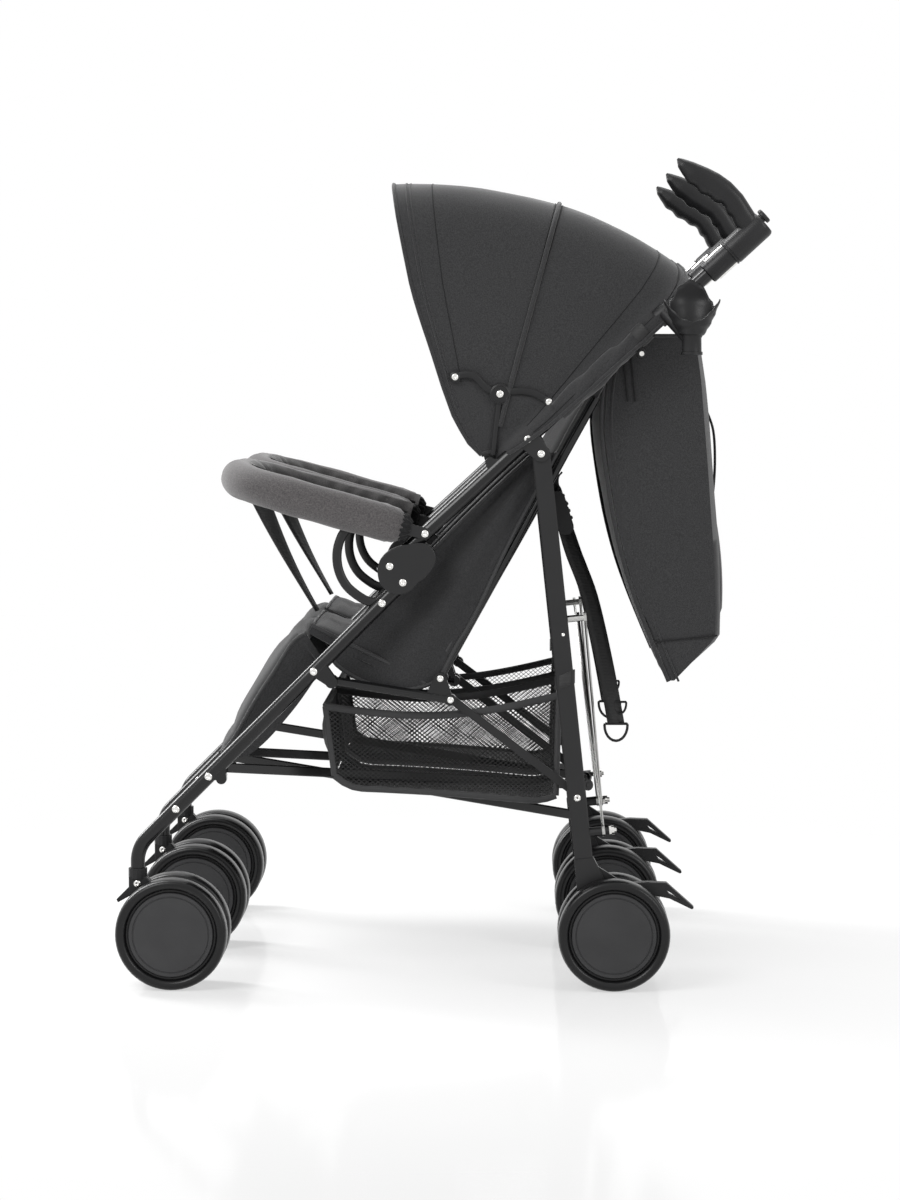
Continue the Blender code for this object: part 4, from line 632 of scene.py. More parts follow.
grip = {
    "length": 0.1376,
    # (height across the handle's line, place along it) of the grip's two edges
    "outer": [
        (0.0, 0.661), (0.0172, 0.6644), (0.045, 0.6692), (0.0678, 0.6689), (0.086, 0.665),
        (0.1016, 0.6591), (0.12, 0.6505), (0.133, 0.643), (0.1376, 0.6395),
    ],
    "inner": [
        (0.0, 0.634), (0.022, 0.6345), (0.0342, 0.6383), (0.0555, 0.6396), (0.072, 0.6336),
        (0.0915, 0.629), (0.1122, 0.6276), (0.129, 0.631), (0.1376, 0.6368),
    ],
    "halfWidth": [
        (0.0, 0.015), (0.02, 0.014), (0.07, 0.0135), (0.11, 0.0118), (0.128, 0.0085), (0.1376, 0.002),
    ],
    "grooves": (0.028, 0.118),
    "groovePitch": 0.0215,
    "grooveDepth": 0.0013,
    "squareness": 0.85,
    "barrel": [
        (0.015, 0.604), (0.0172, 0.6042), (0.0178, 0.605), (0.0178, 0.6062), (0.017, 0.6066),
        (0.017, 0.6078), (0.0178, 0.6082), (0.0181, 0.61), (0.0181, 0.659), (0.0174, 0.6625),
        (0.0158, 0.6645), (0.0, 0.665),
    ],
    "collar": [(0.0118, 0.5655), (0.014, 0.5662), (0.0146, 0.568), (0.0146, 0.6045), (0.0, 0.6046)],
    "knob": [
        (0.0062, 0.664), (0.0062, 0.6675), (0.0098, 0.668), (0.0101, 0.67), (0.0101, 0.6715),
        (0.0094, 0.673), (0.0, 0.6735),
    ],
    "strip": (0.574, 0.59, 0.6045),
    "stripRise": 0.0138,
    "stripRadius": 0.0026,
}
handleAxis = spot(direction(layout["handle"][1]), 0.0)
for side, y in frameY.items():
    shape = newShape()
    rows = []
    for i in range(65):
        rise = grip["length"] * i / 64
        outer = keyed(grip["outer"], rise)
        inner = keyed(grip["inner"], rise)
        wide = keyed(grip["halfWidth"], rise)
        low, high = grip["grooves"]
        fade = clamp((rise - low) / 0.01) * clamp((high - rise) / 0.01)
        groove = grip["grooveDepth"] * fade * math.cos(2 * math.pi * (rise - 0.03) / grip["groovePitch"])
        ring = []
        for j in range(32):
            turn = 2 * math.pi * j / 32
            c, s = math.cos(turn), math.sin(turn)
            run = (outer + inner) / 2 + (outer - inner) / 2 * math.copysign(abs(c) ** grip["squareness"], c)
            if c < 0:
                run += groove * c * c
            ridge = 1.0 + 0.05 * math.exp(-(((turn % math.pi) - 1.15) / 0.12) ** 2)
            across = wide * math.copysign(abs(s) ** grip["squareness"], s) * ridge
            ring.append(spot(on("handle", run, rise), y + across))
        rows.append(ring)
    base = addGrid(shape, rows, loopColumns=True)
    addFace(shape, range(base + 64 * 32, base + 65 * 32), 0)
    for name, rise in (("barrel", 0.0), ("collar", 0.0), ("knob", 0.006)):
        addTurned(shape, spot(on("handle", 0.0, rise), y), handleAxis, grip[name], 40)
    for rise in (grip["stripRise"], -grip["stripRise"]):
        strip = [spot(on("handle", run, rise), y) for run in grip["strip"]]
        addTube(shape, strip, grip["stripRadius"], 12, 1)
    made = makePiece("moulded_grip_" + side, shape, ["gripPlastic", "nickel"], 35)
    settle(made, side + "_frame", "handle_grip_" + side)
print("grips made")

cup = {
    "x": 0.324,
    "y": -0.36525,
    "floorZ": 0.8618,
    # height of the rim at each angle from the front
    "rim": [
        (0, 0.8785), (28, 0.8815), (55, 0.8925), (80, 0.9066), (90, 0.908), (100, 0.904),
        (118, 0.8985), (135, 0.9075), (155, 0.927), (180, 0.9345),
    ],
    "radius": [(0.0, 0.015), (0.1, 0.0178), (0.35, 0.0245), (0.65, 0.0305), (1.0, 0.0362), (1.7, 0.0325)],
    "depth": 0.0452,
    "wall": 0.0018,
    "stem": [
        (0.0135, -0.026), (0.0142, -0.0255), (0.0142, -0.022), (0.0128, -0.0215), (0.0125, -0.004),
        (0.015, 0.0005), (0.0, 0.0006),
    ],
    "clipRun": 0.49,
    "clip": [
        (0.01, -0.012), (0.0132, -0.0118), (0.0136, -0.01), (0.0136, 0.01), (0.0132, 0.0118), (0.01, 0.012),
    ],
    "arm": 0.0085,
}
shape = newShape()
rows = []
for j in range(13):
    ring = []
    for i in range(72):
        turn = 360.0 * i / 72
        fromFront = 180.0 - abs((turn + 90.0) % 360.0 - 180.0)
        z = mix(cup["floorZ"], keyed(cup["rim"], fromFront, True), j / 12)
        radius = keyed(cup["radius"], (z - cup["floorZ"]) / cup["depth"], True)
        out = direction(turn) * radius
        ring.append(Vector((cup["x"] + out[0], cup["y"] + out[1], z)))
    rows.append(ring)
addGrid(shape, rows, loopColumns=True)
made = makePiece("cup_holder_bowl", shape, ["plastic"], 60, wall=cup["wall"], offset=0.0)
settle(made, "left_frame", "cup_holder")
shape = newShape()
addTurned(shape, (cup["x"], cup["y"], cup["floorZ"]), (0, 0, 1), cup["stem"], 40)
clip = on("handle", cup["clipRun"])
addTurned(shape, spot(clip, frameY["left"]), handleAxis, cup["clip"], 32)
arm = [spot(clip, frameY["left"] - 0.01), (cup["x"], cup["y"], cup["floorZ"] - 0.01)]
addTube(shape, arm, cup["arm"], 20, up=(0, 0, 1))
settle(makePiece("cup_holder_stem", shape, ["plastic"]), "left_frame")
print("cup holder made")

canopy = {
    # angles of the front bow, the middle bow and the rear hem, and the cloth's radius at each
    "front": 109.0,
    "mid": 75.0,
    "rear": 46.5,
    "radii": (0.388, 0.35, 0.359),
    "corner": 0.07,
    "sideGap": 0.007,
    "crown": 0.006,
    "nearPivot": 0.012,
    "sag": 0.0065,
    "crumple": 0.0022,
    "liningGap": 0.005,
    "liningCrumple": 0.0065,
    # how far the cloth hangs over the front bow, and below the rear hem, at each distance from the pivot
    "overhang": [
        (0.0, 0.0), (0.02, 0.014), (0.0365, 0.02), (0.072, 0.0262), (0.112, 0.0268), (0.163, 0.0255),
        (0.207, 0.0252), (0.248, 0.0236), (0.3, 0.0168), (0.346, 0.0103), (0.388, 0.003),
    ],
    "rearDrop": [
        (0.0, 0.0), (0.021, 0.009), (0.044, 0.015), (0.089, 0.0237), (0.136, 0.028), (0.18, 0.031),
        (0.215, 0.0336), (0.25, 0.037), (0.3, 0.04), (0.335, 0.034), (0.352, 0.024), (0.366, 0.008),
    ],
    "wrap": 0.0205,
    # heights over the handle's line between which the rear hem leaves the tube
    "wrapBand": (0.004, 0.022),
    "steps": 44,
    "blendFront": 0.15,
    "blendRear": 0.1,
    # bindings and seams: angle, lift, points left out at each end, radius, sides, material
    "trims": [
        (109.0, 0.0, 0, 0.0024, 10, 0), (106.6, 0.0, 0, 0.0013, 8, 0), (105.8, 0.0, 0, 0.0009, 8, 0),
        (101.5, 0.0, 5, 0.0007, 8, 1), (75.0, 0.001, 2, 0.0033, 12, 0), (75.8, 0.0, 3, 0.0009, 8, 1),
        (74.2, 0.0, 3, 0.0009, 8, 1), (52.5, 0.0, 3, 0.0007, 8, 1), (48.2, 0.0, 3, 0.0008, 8, 1),
        (46.5, 0.0, 0, 0.0026, 10, 0),
    ],
    "edging": 0.0032,
    "flat": (0.95, 0.42),
    "area": 0.262,
    "liningFlat": (0.93, 0.41),
    "liningArea": 0.252,
}


def canopyRadius(angle):
    front, mid, rear = canopy["radii"]
    if angle >= canopy["mid"]:
        return mix(mid, front, ((angle - canopy["mid"]) / (canopy["front"] - canopy["mid"])) ** 1.4)
    return mix(mid, rear, (canopy["mid"] - angle) / (canopy["mid"] - canopy["rear"]))


def hoopLine(radius, yLow, yHigh, corner):
    # up one side, over the rounded corner, across the top and down again
    half = [(mix(canopy["nearPivot"], radius - corner, i / 15), yLow) for i in range(16)]
    for i in range(1, 9):
        turn = math.radians(90 * i / 8)
        half.append((radius - corner + corner * math.sin(turn), yLow + corner * (1 - math.cos(turn))))
    for i in range(1, 7):
        rise = canopy["crown"] * math.sin(i / 6 * math.pi / 2)
        half.append((radius + rise, mix(yLow + corner, (yLow + yHigh) / 2, i / 6)))
    return half + [(d, yLow + yHigh - y) for d, y in reversed(half[:-1])]


def canopyGrid(bay, tuck, crumple, shift=0.0):
    # the fan of cloth: it overhangs the front bow, and its rear hem drops round the outer handle tube
    yLow, yHigh = bayEdges(bay, canopy["sideGap"])
    outer = outward[bay]
    pivot = Vector(layout["canopyPivot"])
    rows = []
    for i in range(canopy["steps"] + 1):
        angle = mix(canopy["front"], canopy["rear"], i / canopy["steps"])
        radius = canopyRadius(angle) - tuck
        ahead = max(0.0, (angle - canopy["mid"]) / (canopy["front"] - canopy["mid"]))
        behind = max(0.0, (canopy["mid"] - angle) / (canopy["mid"] - canopy["rear"]))
        dip = hump(max(ahead, behind)) * canopy["sag"] * 0.8
        row = []
        for distance, y in hoopLine(radius, yLow + tuck, yHigh - tuck, canopy["corner"] - tuck):
            lean = ((yLow + yHigh) / 2 - y) / (yHigh - yLow) * 2
            outerSide = -lean * outer > 0
            push = keyed(canopy["overhang"], distance) * ahead**2
            drop = keyed(canopy["rearDrop"], distance) * behind**3 * (1.0 if outerSide else 0.25)
            place = pivot + direction(angle) * distance + direction(angle + 90) * (push - drop)
            ruck = noise.noise(spot(place, y) * 20.0 + Vector((shift, 0, 0))) * crumple
            ruck *= 1 + 1.5 * math.exp(-((distance / 0.11) ** 2))
            ruck = abs(ruck) if tuck else ruck  # the lining only creases inwards
            place -= direction(angle) * (dip + ruck * 0.5) * (1 - abs(lean))
            y += (dip * min(1.0, distance / radius) + ruck) * lean
            height = (place - Vector(layout["handle"][0])).dot(direction(layout["handle"][1] + 90))
            low, high = canopy["wrapBand"]
            wrap = clamp(1 - (height - low) / (high - low))
            if outerSide and distance > 0.02:
                reach = outer * (canopy["wrap"] - tuck) * min(1.0, abs(lean) * 1.5)
                y += reach * wrap * wrap * (3 - 2 * wrap)
            row.append(spot(place, y))
        rows.append(row)
    return rows


def hoopAt(rows, angle, lift):
    # a line on the cloth at one angle of the fan, lifted off it
    place = (canopy["front"] - angle) / (canopy["front"] - canopy["rear"]) * canopy["steps"]
    i = min(int(place), canopy["steps"] - 1)
    middle = sum(p.y for p in rows[0]) / len(rows[0])
    x, z = layout["canopyPivot"]
    line = []
    for a, b in zip(rows[i], rows[i + 1]):
        p = a.lerp(b, place - i)
        line.append(p + Vector((p.x - x, (p.y - middle) * 1.6, p.z - z)).normalized() * lift)
    return line


for bay in bays:
    rows = canopyGrid(bay, 0.0, canopy["crumple"])
    shape = newShape()
    addGrid(shape, rows)
    cloth = makePiece("canopy_cloth_" + bay, shape, ["canopyCloth"], 60)
    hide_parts("canopy_" + bay)

    shape = newShape()
    addGrid(shape, canopyGrid(bay, canopy["liningGap"], canopy["liningCrumple"], 3.7))
    lining = makePiece("canopy_lining_" + bay, shape, ["lining"], 60)

    shape = newShape()
    for angle, lift, skip, radius, sides, slot in canopy["trims"]:
        line = hoopAt(rows, angle, lift)
        addTube(shape, line[skip : len(line) - skip], radius, sides, slot)
    for edge in (0, -1):
        addTube(shape, [row[edge] for row in rows], canopy["edging"], 10, 0)
    trims = makePiece("canopy_trims_" + bay, shape, ["canopyCloth", "lining"], 60)

    # where the cloth passes from following the front bow to following the frame; the pieces only get their
    # places baked into their meshes
    pivot = Vector(layout["canopyPivot"])
    across = direction(canopy["mid"] - 90)
    start = spot(pivot - across * canopy["blendFront"], 0.0)
    end = spot(pivot + across * canopy["blendRear"], 0.0)
    for made, slotName in ((cloth, "charcoal_fabric"), (lining, "black_mesh"), (trims, "charcoal_fabric")):
        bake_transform(made)

# the flat jointed stays on the canopies' sides
stay = {
    "front": [
        (0.0159, 0.8074), (0.029, 0.811), (0.042, 0.808), (0.052, 0.7975), (0.063, 0.7895), (0.075, 0.7851),
    ],
    "rear": [
        (0.075, 0.7851), (0.088, 0.788), (0.103, 0.789), (0.119, 0.7865), (0.131, 0.7805), (0.1394, 0.7747),
    ],
    "hub": (0.075, 0.7851),
    "halfWidth": 0.0046,
    "face": 0.0025,
    "tip": [(0.0072, 0.0), (0.0072, 0.003), (0.006, 0.004), (0.0, 0.0041)],
    "cap": [
        (0.0132, 0.0), (0.0135, 0.001), (0.0132, 0.0045), (0.0112, 0.0056), (0.0104, 0.0048), (0.0, 0.0048),
    ],
    "link": ((0.0745, 0.78), (0.07, 0.745), (0.066, 0.705)),
    "linkRadius": 0.0036,
    # how far out of the stay's face a head's foot and its rivet sit
    "tipOut": (-0.0018, 0.0022),
    "capOut": (-0.0022, 0.0028),
    "linkOut": -0.0005,
}
for bay in bays:
    yLow, yHigh = bayEdges(bay, canopy["sideGap"])
    for part, tip, body in (("front", 0, "canopy_front_bow_" + bay), ("rear", -1, "mid_frame")):
        shape = newShape()
        for y, way in ((yLow, -1.0), (yHigh, 1.0)):
            face = y + way * stay["face"]
            line = [spot(p, face) for p in smoothLine(stay[part], 5)]
            addTube(shape, line, stay["halfWidth"], 16, 0, flat=0.34)
            heads = [(stay[part][tip], stay["tip"], stay["tipOut"], 0.92, 28)]
            if part == "rear":
                heads.append((stay["hub"], stay["cap"], stay["capOut"], 1.0, 36))
            for point, profile, (foot, top), scale, steps in heads:
                addTurned(shape, spot(point, face + way * foot), (0, way, 0), profile, steps)
                addRivet(shape, point, face + way * top, way, scale, 1)
            if part == "rear":
                link = [spot(p, face + way * stay["linkOut"]) for p in stay["link"]]
                addTube(shape, link, stay["linkRadius"], 14, 0, flat=0.5)
        made = makePiece(f"canopy_stay_{part}_{bay}", shape, ["plastic", "nickel"], 45)
        settle(made, body)
print("canopies made")

bumper = {
    "reach": 0.262,
    "corner": 0.105,
    "radius": 0.0245,
    "cuff": 0.03,
    "endTaper": (0.008, 0.0026, 0.0009, 0.0002),
    "frill": [0.017, 0.0182, 0.018, 0.0168, 0.015, 0.0126, 0.0098],
    "sideGap": 0.004,
    "crumple": 0.0016,
    "endWave": 0.001,
    "frillWave": 0.0016,
    "frillStart": 0.004,
    "frillStep": 0.0025,
    # the gathered strip: how far it stands off the sleeve, its ruffles, and the fine pleats between them
    "gatherLift": 0.0012,
    "ruffle": 0.003,
    "ruffleWave": 0.0028,
    "ruffleCrumple": 0.005,
    "pleat": 0.0016,
    "gatherFlat": (0.75, 0.045),
    # flat steel arm: its length, half width and two faces, and the plug inside the sleeve
    "arm": (0.044, 0.0078),
    "armFaces": (0.0098, 0.0128),
    "armBevel": 0.0006,
    "plug": ((0.036, -0.0065), (0.046, -0.0065), (0.046, 0.0065), (0.036, 0.0065)),
    # crotch strap: where it leaves the bar, its low end, how it bows, and its twist below and above
    "strapTop": (0.252, -0.004),
    "strapLow": (-0.174, 0.4895),
    "strapBow": (-0.003, -0.003),
    "strapTwist": (0.12, 1.15),
    "strapThreads": (-0.015, -0.005, 0.005, 0.015),
    "strapWall": 0.0022,
}


def bumperPath(outer, inner, way):
    # back along one side, round the corner and to the middle, then the same mirrored
    straight = bumper["reach"] - bumper["corner"]
    half = [(mix(bumper["cuff"], straight, i / 13), outer) for i in range(14)]
    for i in range(1, 11):
        turn = math.radians(9 * i)
        depth = bumper["corner"] * (1 - math.cos(turn))
        half.append((straight + bumper["corner"] * math.sin(turn), outer - way * depth))
    edge = half[-1][1]
    for i in range(1, 4):
        half.append((bumper["reach"] + 0.002 * hump(i / 6), mix(edge, (outer + inner) / 2, i / 3)))
    flip = [(run, outer + inner - y) for run, y in reversed(half[:-1])]
    return [spot(on("bumper", run), y) for run, y in half + flip]


def gatherRows(line, centre):
    # rows along the inside of the sleeve, pushed out into ruffles
    rows = []
    for i, point in enumerate(line):
        run = (line[min(i + 1, len(line) - 1)] - line[max(i - 1, 0)]).normalized()
        lift = (Vector((0, 0, 1)) - run * run.z).normalized()
        inward = run.cross(lift)
        if inward.dot(centre - point) < 0:
            inward = -inward
        row = []
        for j in range(7):
            turn = math.radians(-50 + 18 * j)
            wave = bumper["ruffleWave"] * math.sin(i * 2.4 + j * 0.5)
            fine = bumper["ruffleCrumple"] * noise.noise(point * 42.0 + Vector((j * 0.3, 0, 0)))
            ruffle = bumper["gatherLift"] + hump(j / 6) * (bumper["ruffle"] + wave + fine)
            out = inward * math.cos(turn) + lift * math.sin(turn)
            row.append(point + out * (bumper["radius"] + ruffle))
        rows.append(row)
    dense = []
    for a, b in zip(rows, rows[1:]):
        middles = [p.lerp(q, 0.5) for p, q in zip(a, b)]
        step = (len(dense) + 1) * 1.9
        waves = [bumper["pleat"] * math.sin(step + k) for k in range(len(middles))]
        dense += [a, [p + (p - centre).normalized() * wave for p, wave in zip(middles, waves)]]
    return dense + [rows[-1]]


for bay in bays:
    way = outward[bay]
    outer = frameY[bay] + way * bumper["sideGap"]
    inner = frameY["mid"] + way * (bumper["radius"] + bumper["sideGap"])
    middle = (outer + inner) / 2
    line = bumperPath(outer, inner, way)
    count = len(line)

    def sleeveRipple(i, turn):
        place = line[i] * 26.0 + Vector((math.cos(turn), 0, math.sin(turn))) * 0.8
        ripple = noise.noise(place) * bumper["crumple"]
        ends = min(i, count - 1 - i)
        if ends < 4:
            ripple += bumper["endWave"] * math.sin(turn * 11 + i * 2.1) - bumper["endTaper"][ends]
        return ripple

    def frillRipple(i, turn):
        return bumper["frillWave"] * math.sin(turn * 15 + i * 0.5)

    shape = newShape()
    addTube(shape, line, bumper["radius"], 32, 0, ripple=sleeveRipple, up=(0, 0, 1))
    for tip, before in ((line[0], line[1]), (line[-1], line[-2])):
        back = (tip - before).normalized()
        frill = [tip + back * (bumper["frillStep"] * k - bumper["frillStart"]) for k in range(7)]
        addTube(shape, frill, bumper["frill"], 60, 1, up=(0, 0, 1), ripple=frillRipple)
    sleeve = makePiece("bumper_sleeve_" + bay, shape, ["sleeveCloth", "lining"], 70)
    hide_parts("bumper_bar_" + bay)

    # the gathered elastic strip that closes the sleeve along its inner side; its cloth is a darker copy of
    # the sleeve's cloth, as painted shade in its folds
    shape = newShape()
    addGrid(shape, gatherRows(line, sum(line, Vector()) / count))
    gatherPaintedShade = makePiece("bumper_gather_" + bay, shape, ["gatherPaintedShade"], 80)

    # flat steel arms with their rivets
    shape = newShape()
    length, half = bumper["arm"]
    outline = roundedEnds(layout["bumper"][0], on("bumper", length), half)
    plug = [on("bumper", run, rise) for run, rise in bumper["plug"]]
    for y, name in ((outer, bay), (inner, "mid")):
        near, far = (frameY[name] + way * face for face in bumper["armFaces"])
        addSlab(shape, outline, min(near, far), max(near, far), 0)
        addSlab(shape, plug, min(near, y), max(far, y), 0)
        addRivet(shape, layout["bumper"][0], far, way, 1.0, 1)
    arms = makePiece("bumper_arms_" + bay, shape, ["barPaint", "nickel"], 40, bumper["armBevel"])

    # the crotch strap twists as it comes down to the seat
    shape = newShape()
    top = on("bumper", *bumper["strapTop"])
    least, more = bumper["strapTwist"]
    rows = []
    for i, place in enumerate(between(top, bumper["strapLow"], 20)):
        t = i / 20
        place = spot(place + Vector(bumper["strapBow"]) * hump(t), middle)
        twist = more * (1 - t) ** 1.6 + least
        lean = Vector((math.sin(twist), math.cos(twist), 0)) * mix(1.0, 0.8, t)
        rows.append([place + lean * s for s in bumper["strapThreads"]])
    addGrid(shape, rows)
    name = "bumper_crotch_strap_" + bay
    strap = makePiece(name, shape, ["webbing"], 60, wall=bumper["strapWall"], offset=0.0)
    looks = ((sleeve, "grey_sleeve"), (gatherPaintedShade, "grey_sleeve"), (arms, "steel"), (strap, "black_webbing"))
    for made, slotName in looks:
        settle(made, "bumper_bar_" + bay, folds=True)
print("bumper bars made")

pad = {"columns": 26, "pull": 0.004, "seam": 0.0035, "seamWidth": 0.09, "crumple": 0.0016, "roundness": 0.45}
seat = {
    "front": (-0.176, 0.474),
    "back": (-0.026, 0.397),
    "thickness": 0.028,
    "crown": 0.01,
    "sideGap": 0.0275,
    "piping": 0.0026,
}
legRest = {
    # where it hangs from the seat's front edge, and its line from there
    "start": (-0.0155, -0.0185),
    "drop": [(0.01, 0.01), (-0.01, -0.006), (-0.05, -0.068), (-0.084, -0.126), (-0.103, -0.15)],
    "thickness": 0.024,
    "crown": 0.007,
    "piping": 0.0028,
    "skirt": 0.04,
    "skirtEnd": 0.004,
    "skirtFold": 0.003,
    "skirtTuck": 0.006,
}
backrest = {
    "start": 0.034,
    "length": 0.425,
    "rise": 0.006,
    "thickness": 0.03,
    "crown": 0.01,
    "sideGap": 0.0295,
    "channels": 4,
    "tubeGap": 0.0315,
    "tubeRadius": 0.0056,
    "tubeRuns": (-0.004, 0.2, 0.425),
    "eye": [(0.0105, 0.0), (0.0105, 0.008)],
}
wing = {
    "rear": [
        (-0.004, 0.4095), (0.0175, 0.452), (0.0423, 0.4942), (0.085, 0.584), (0.1277, 0.665), (0.15, 0.708),
    ],
    "front": [
        (-0.148, 0.433), (-0.115, 0.472), (-0.07, 0.52), (-0.025, 0.568), (0.055, 0.648),
        (0.118, 0.706),
    ],
    "bulge": [(0.0, 0.0), (0.1, 0.0015), (0.36, -0.009), (0.74, 0.014), (1.0, 0.006)],
    "fade": [(0.0, 0.35), (0.25, 1.0), (0.75, 1.0), (1.0, 0.3)],
    "gap": 0.0035,
    "hang": 0.027,
    "crumple": 0.002,
    "piping": 0.0028,
    "frontPiping": 0.0022,
    "flat": (0.42, 0.2),
    "area": 0.044,
}


def paddedPanel(shape, line, thickness, yLow, yHigh, crown, side, channels):
    # a closed pad along a side-plane line: crowned, pulled in between its corners, with sewn channels
    front, rear = [], []
    for i, point in enumerate(line):
        run = (line[min(i + 1, len(line) - 1)] - line[max(i - 1, 0)]).normalized()
        normal = Vector((-run[1], run[0])) * side
        u = i / (len(line) - 1)
        channel = math.exp(-((((u * channels) % 1.0) - 0.5) / pad["seamWidth"]) ** 2)
        seam = pad["seam"] * channel if 0.08 < u < 0.95 else 0.0
        topRow, lowRow = [], []
        for j in range(pad["columns"] + 1):
            v = j / pad["columns"]
            y = mix(yLow, yHigh, v) + (0.5 - v) * 2 * pad["pull"] * hump(u)
            fall = max(0.0, hump(u)) ** pad["roundness"] * max(0.0, hump(v)) ** pad["roundness"]
            ruck = pad["crumple"] * noise.noise(Vector((point[0] * 18, y * 18, point[1] * 18 + thickness)))
            rise = thickness * 0.5 * (0.35 + 0.65 * fall) + crown * fall - seam * fall + ruck
            topRow.append(spot(point + normal * rise, y))
            lowRow.append(spot(point - normal * thickness * 0.5 * (0.5 + 0.5 * fall), y))
        front.append(topRow)
        rear.append(lowRow)
    out = Vector((0, 0.001, 0))
    rings = []
    for top, low in zip(front, rear):
        rings.append([*top, top[-1].lerp(low[-1], 0.5) + out, *low[::-1], top[0].lerp(low[0], 0.5) - out])
    addRings(shape, rings)
    return front, rear


def padEdge(top, low, edge, share):
    # a line along one side of a pad, share of the way down its edge
    return [row[edge].lerp(other[edge], share) for row, other in zip(top, low)]


def addPiping(shape, top, low, share, radius):
    for line in (padEdge(top, low, 0, share), padEdge(top, low, -1, share), top[-1]):
        addTube(shape, line, radius, 10, 1)


for bay in bays:
    yLow, yHigh = bayEdges(bay, seat["sideGap"])
    shape = newShape()
    line = between(seat["back"], seat["front"], 22)
    top, low = paddedPanel(shape, line, seat["thickness"], yLow, yHigh, seat["crown"], -1.0, 3)
    addPiping(shape, top, low, 0.0, seat["piping"])
    made = makePiece("seat_pad_" + bay, shape, ["seatCloth", "binding"], 60)
    settle(made, "seat_bar_mid", "seat_" + bay, folds=True)

    # leg rest: the padded drop panel and its crumpled side skirts
    yLow, yHigh = bayEdges(bay, backrest["sideGap"])
    shape = newShape()
    start = Vector(seat["front"]) + Vector(legRest["start"])
    drop = smoothLine([start + Vector(p) for p in legRest["drop"]], 7)
    top, low = paddedPanel(shape, drop, legRest["thickness"], yLow, yHigh, legRest["crown"], -1.0, 2)
    for edge, tuck in ((0, legRest["skirtTuck"]), (-1, -legRest["skirtTuck"])):
        addTube(shape, padEdge(top, low, edge, 0.2), legRest["piping"], 10, 1)
        skirt = []
        for i, (row, other) in enumerate(zip(top, low)):
            share = min(1.0, 0.25 + i / (len(top) - 1) * 0.75)
            depth = legRest["skirt"] * hump(share) + legRest["skirtEnd"]
            inward = (other[edge] - row[edge]).normalized() * depth
            threads = []
            for t in (0.0, 0.33, 0.66, 1.0):
                fold = tuck * t + legRest["skirtFold"] * math.sin(i * 1.15 + 3 * t) * t
                threads.append(other[edge] + inward * t + Vector((0, fold, 0)))
            skirt.append(threads)
        addGrid(shape, skirt, 2)
    addTube(shape, top[-1], legRest["piping"], 10, 1)
    made = makePiece("leg_rest_pad_" + bay, shape, ["seatCloth", "binding", "seatCloth"], 60)
    settle(made, "mid_frame", "leg_rest_" + bay, folds=True)

    # backrest: the padded panel and its tubes
    shape = newShape()
    first = on("backrest", backrest["start"], backrest["rise"])
    last = on("backrest", backrest["start"] + backrest["length"], backrest["rise"])
    line = between(first, last, 40)
    top, low = paddedPanel(
        shape, line, backrest["thickness"], yLow, yHigh, backrest["crown"], 1.0, backrest["channels"]
    )
    addPiping(shape, top, low, 0.1, seat["piping"])
    for y in bayEdges(bay, backrest["tubeGap"]):
        tube = [spot(on("backrest", run), y) for run in backrest["tubeRuns"]]
        addTube(shape, tube, backrest["tubeRadius"], 20, 3)
        addTurned(shape, spot(layout["backrest"][0], y - 0.004), (0, 1, 0), backrest["eye"], 28, 3)
    made = makePiece("backrest_pad_" + bay, shape, ["seatCloth", "binding", "seatCloth", "paint"], 60)
    settle(made, "backrest_" + bay, "backrest_" + bay, folds=True)

    # the side wings that reach from the backrest to the frame tubes
    rearLine = smoothLine(wing["rear"], 6)
    frontLine = smoothLine(wing["front"], 6)
    for y, way, edgeName in ((yLow - wing["gap"], 1.0, "outer"), (yHigh + wing["gap"], -1.0, "inner")):
        shape = newShape()
        rows = []
        for i, (rear, front) in enumerate(zip(rearLine, frontLine)):
            u = i / (len(rearLine) - 1)
            row = []
            for j, place in enumerate(between(rear, front, 24)):
                v = j / 24
                bulge = keyed(wing["bulge"], v, True) * keyed(wing["fade"], u, True)
                bulge += wing["crumple"] * noise.noise(Vector((u * 4, v * 3, y)))
                hang = -wing["hang"] * hump(v) ** 0.7 * (1 - u) ** 6
                row.append(spot(place + Vector((0, hang)), y + way * bulge))
            rows.append(row)
        addGrid(shape, rows)
        addTube(shape, [row[0] for row in rows], wing["piping"], 10, 1)
        addTube(shape, [row[-1] for row in rows], wing["frontPiping"], 10, 1)
        addTube(shape, rows[0], wing["piping"], 10, 1)
        made = makePiece(f"seat_wing_{edgeName}_{bay}", shape, ["seatCloth", "binding"], 70)
        settle(made, "backrest_" + bay, folds=True)
print("seats made")

basket = {
    "frontTop": (-0.158, 0.369),
    "frontLow": (-0.146, 0.26),
    "rearLow": (0.15, 0.24),
    "rearTop": (0.154, 0.384),
    "sag": 0.019,
    "gap": 0.0415,
    "bulge": 0.006,
    "inset": 0.001,
    "crumple": 0.0012,
    "frontPush": -0.016,
    "floorSag": 0.003,
    "cornerRise": (0.016, 0.01),
    # half widths of the rim, the bindings and the corner tapes
    "rim": 0.005,
    "binding": 0.0045,
    "tape": 0.004,
    "flat": (0.57, 0.52),
    "area": 0.2,
}
topLine = between(basket["frontTop"], basket["rearTop"], 24)
topLine = [p - Vector((0, basket["sag"] * hump(i / 24))) for i, p in enumerate(topLine)]
lowLine = []
frontRise, rearRise = basket["cornerRise"]
for i, p in enumerate(between(basket["frontLow"], basket["rearLow"], 24)):
    corners = frontRise * max(0.0, 1 - i / 3) ** 2 + rearRise * max(0.0, 1 - (24 - i) / 3) ** 2
    lowLine.append(p + Vector((0, basket["floorSag"] * hump(i / 24) + corners)))
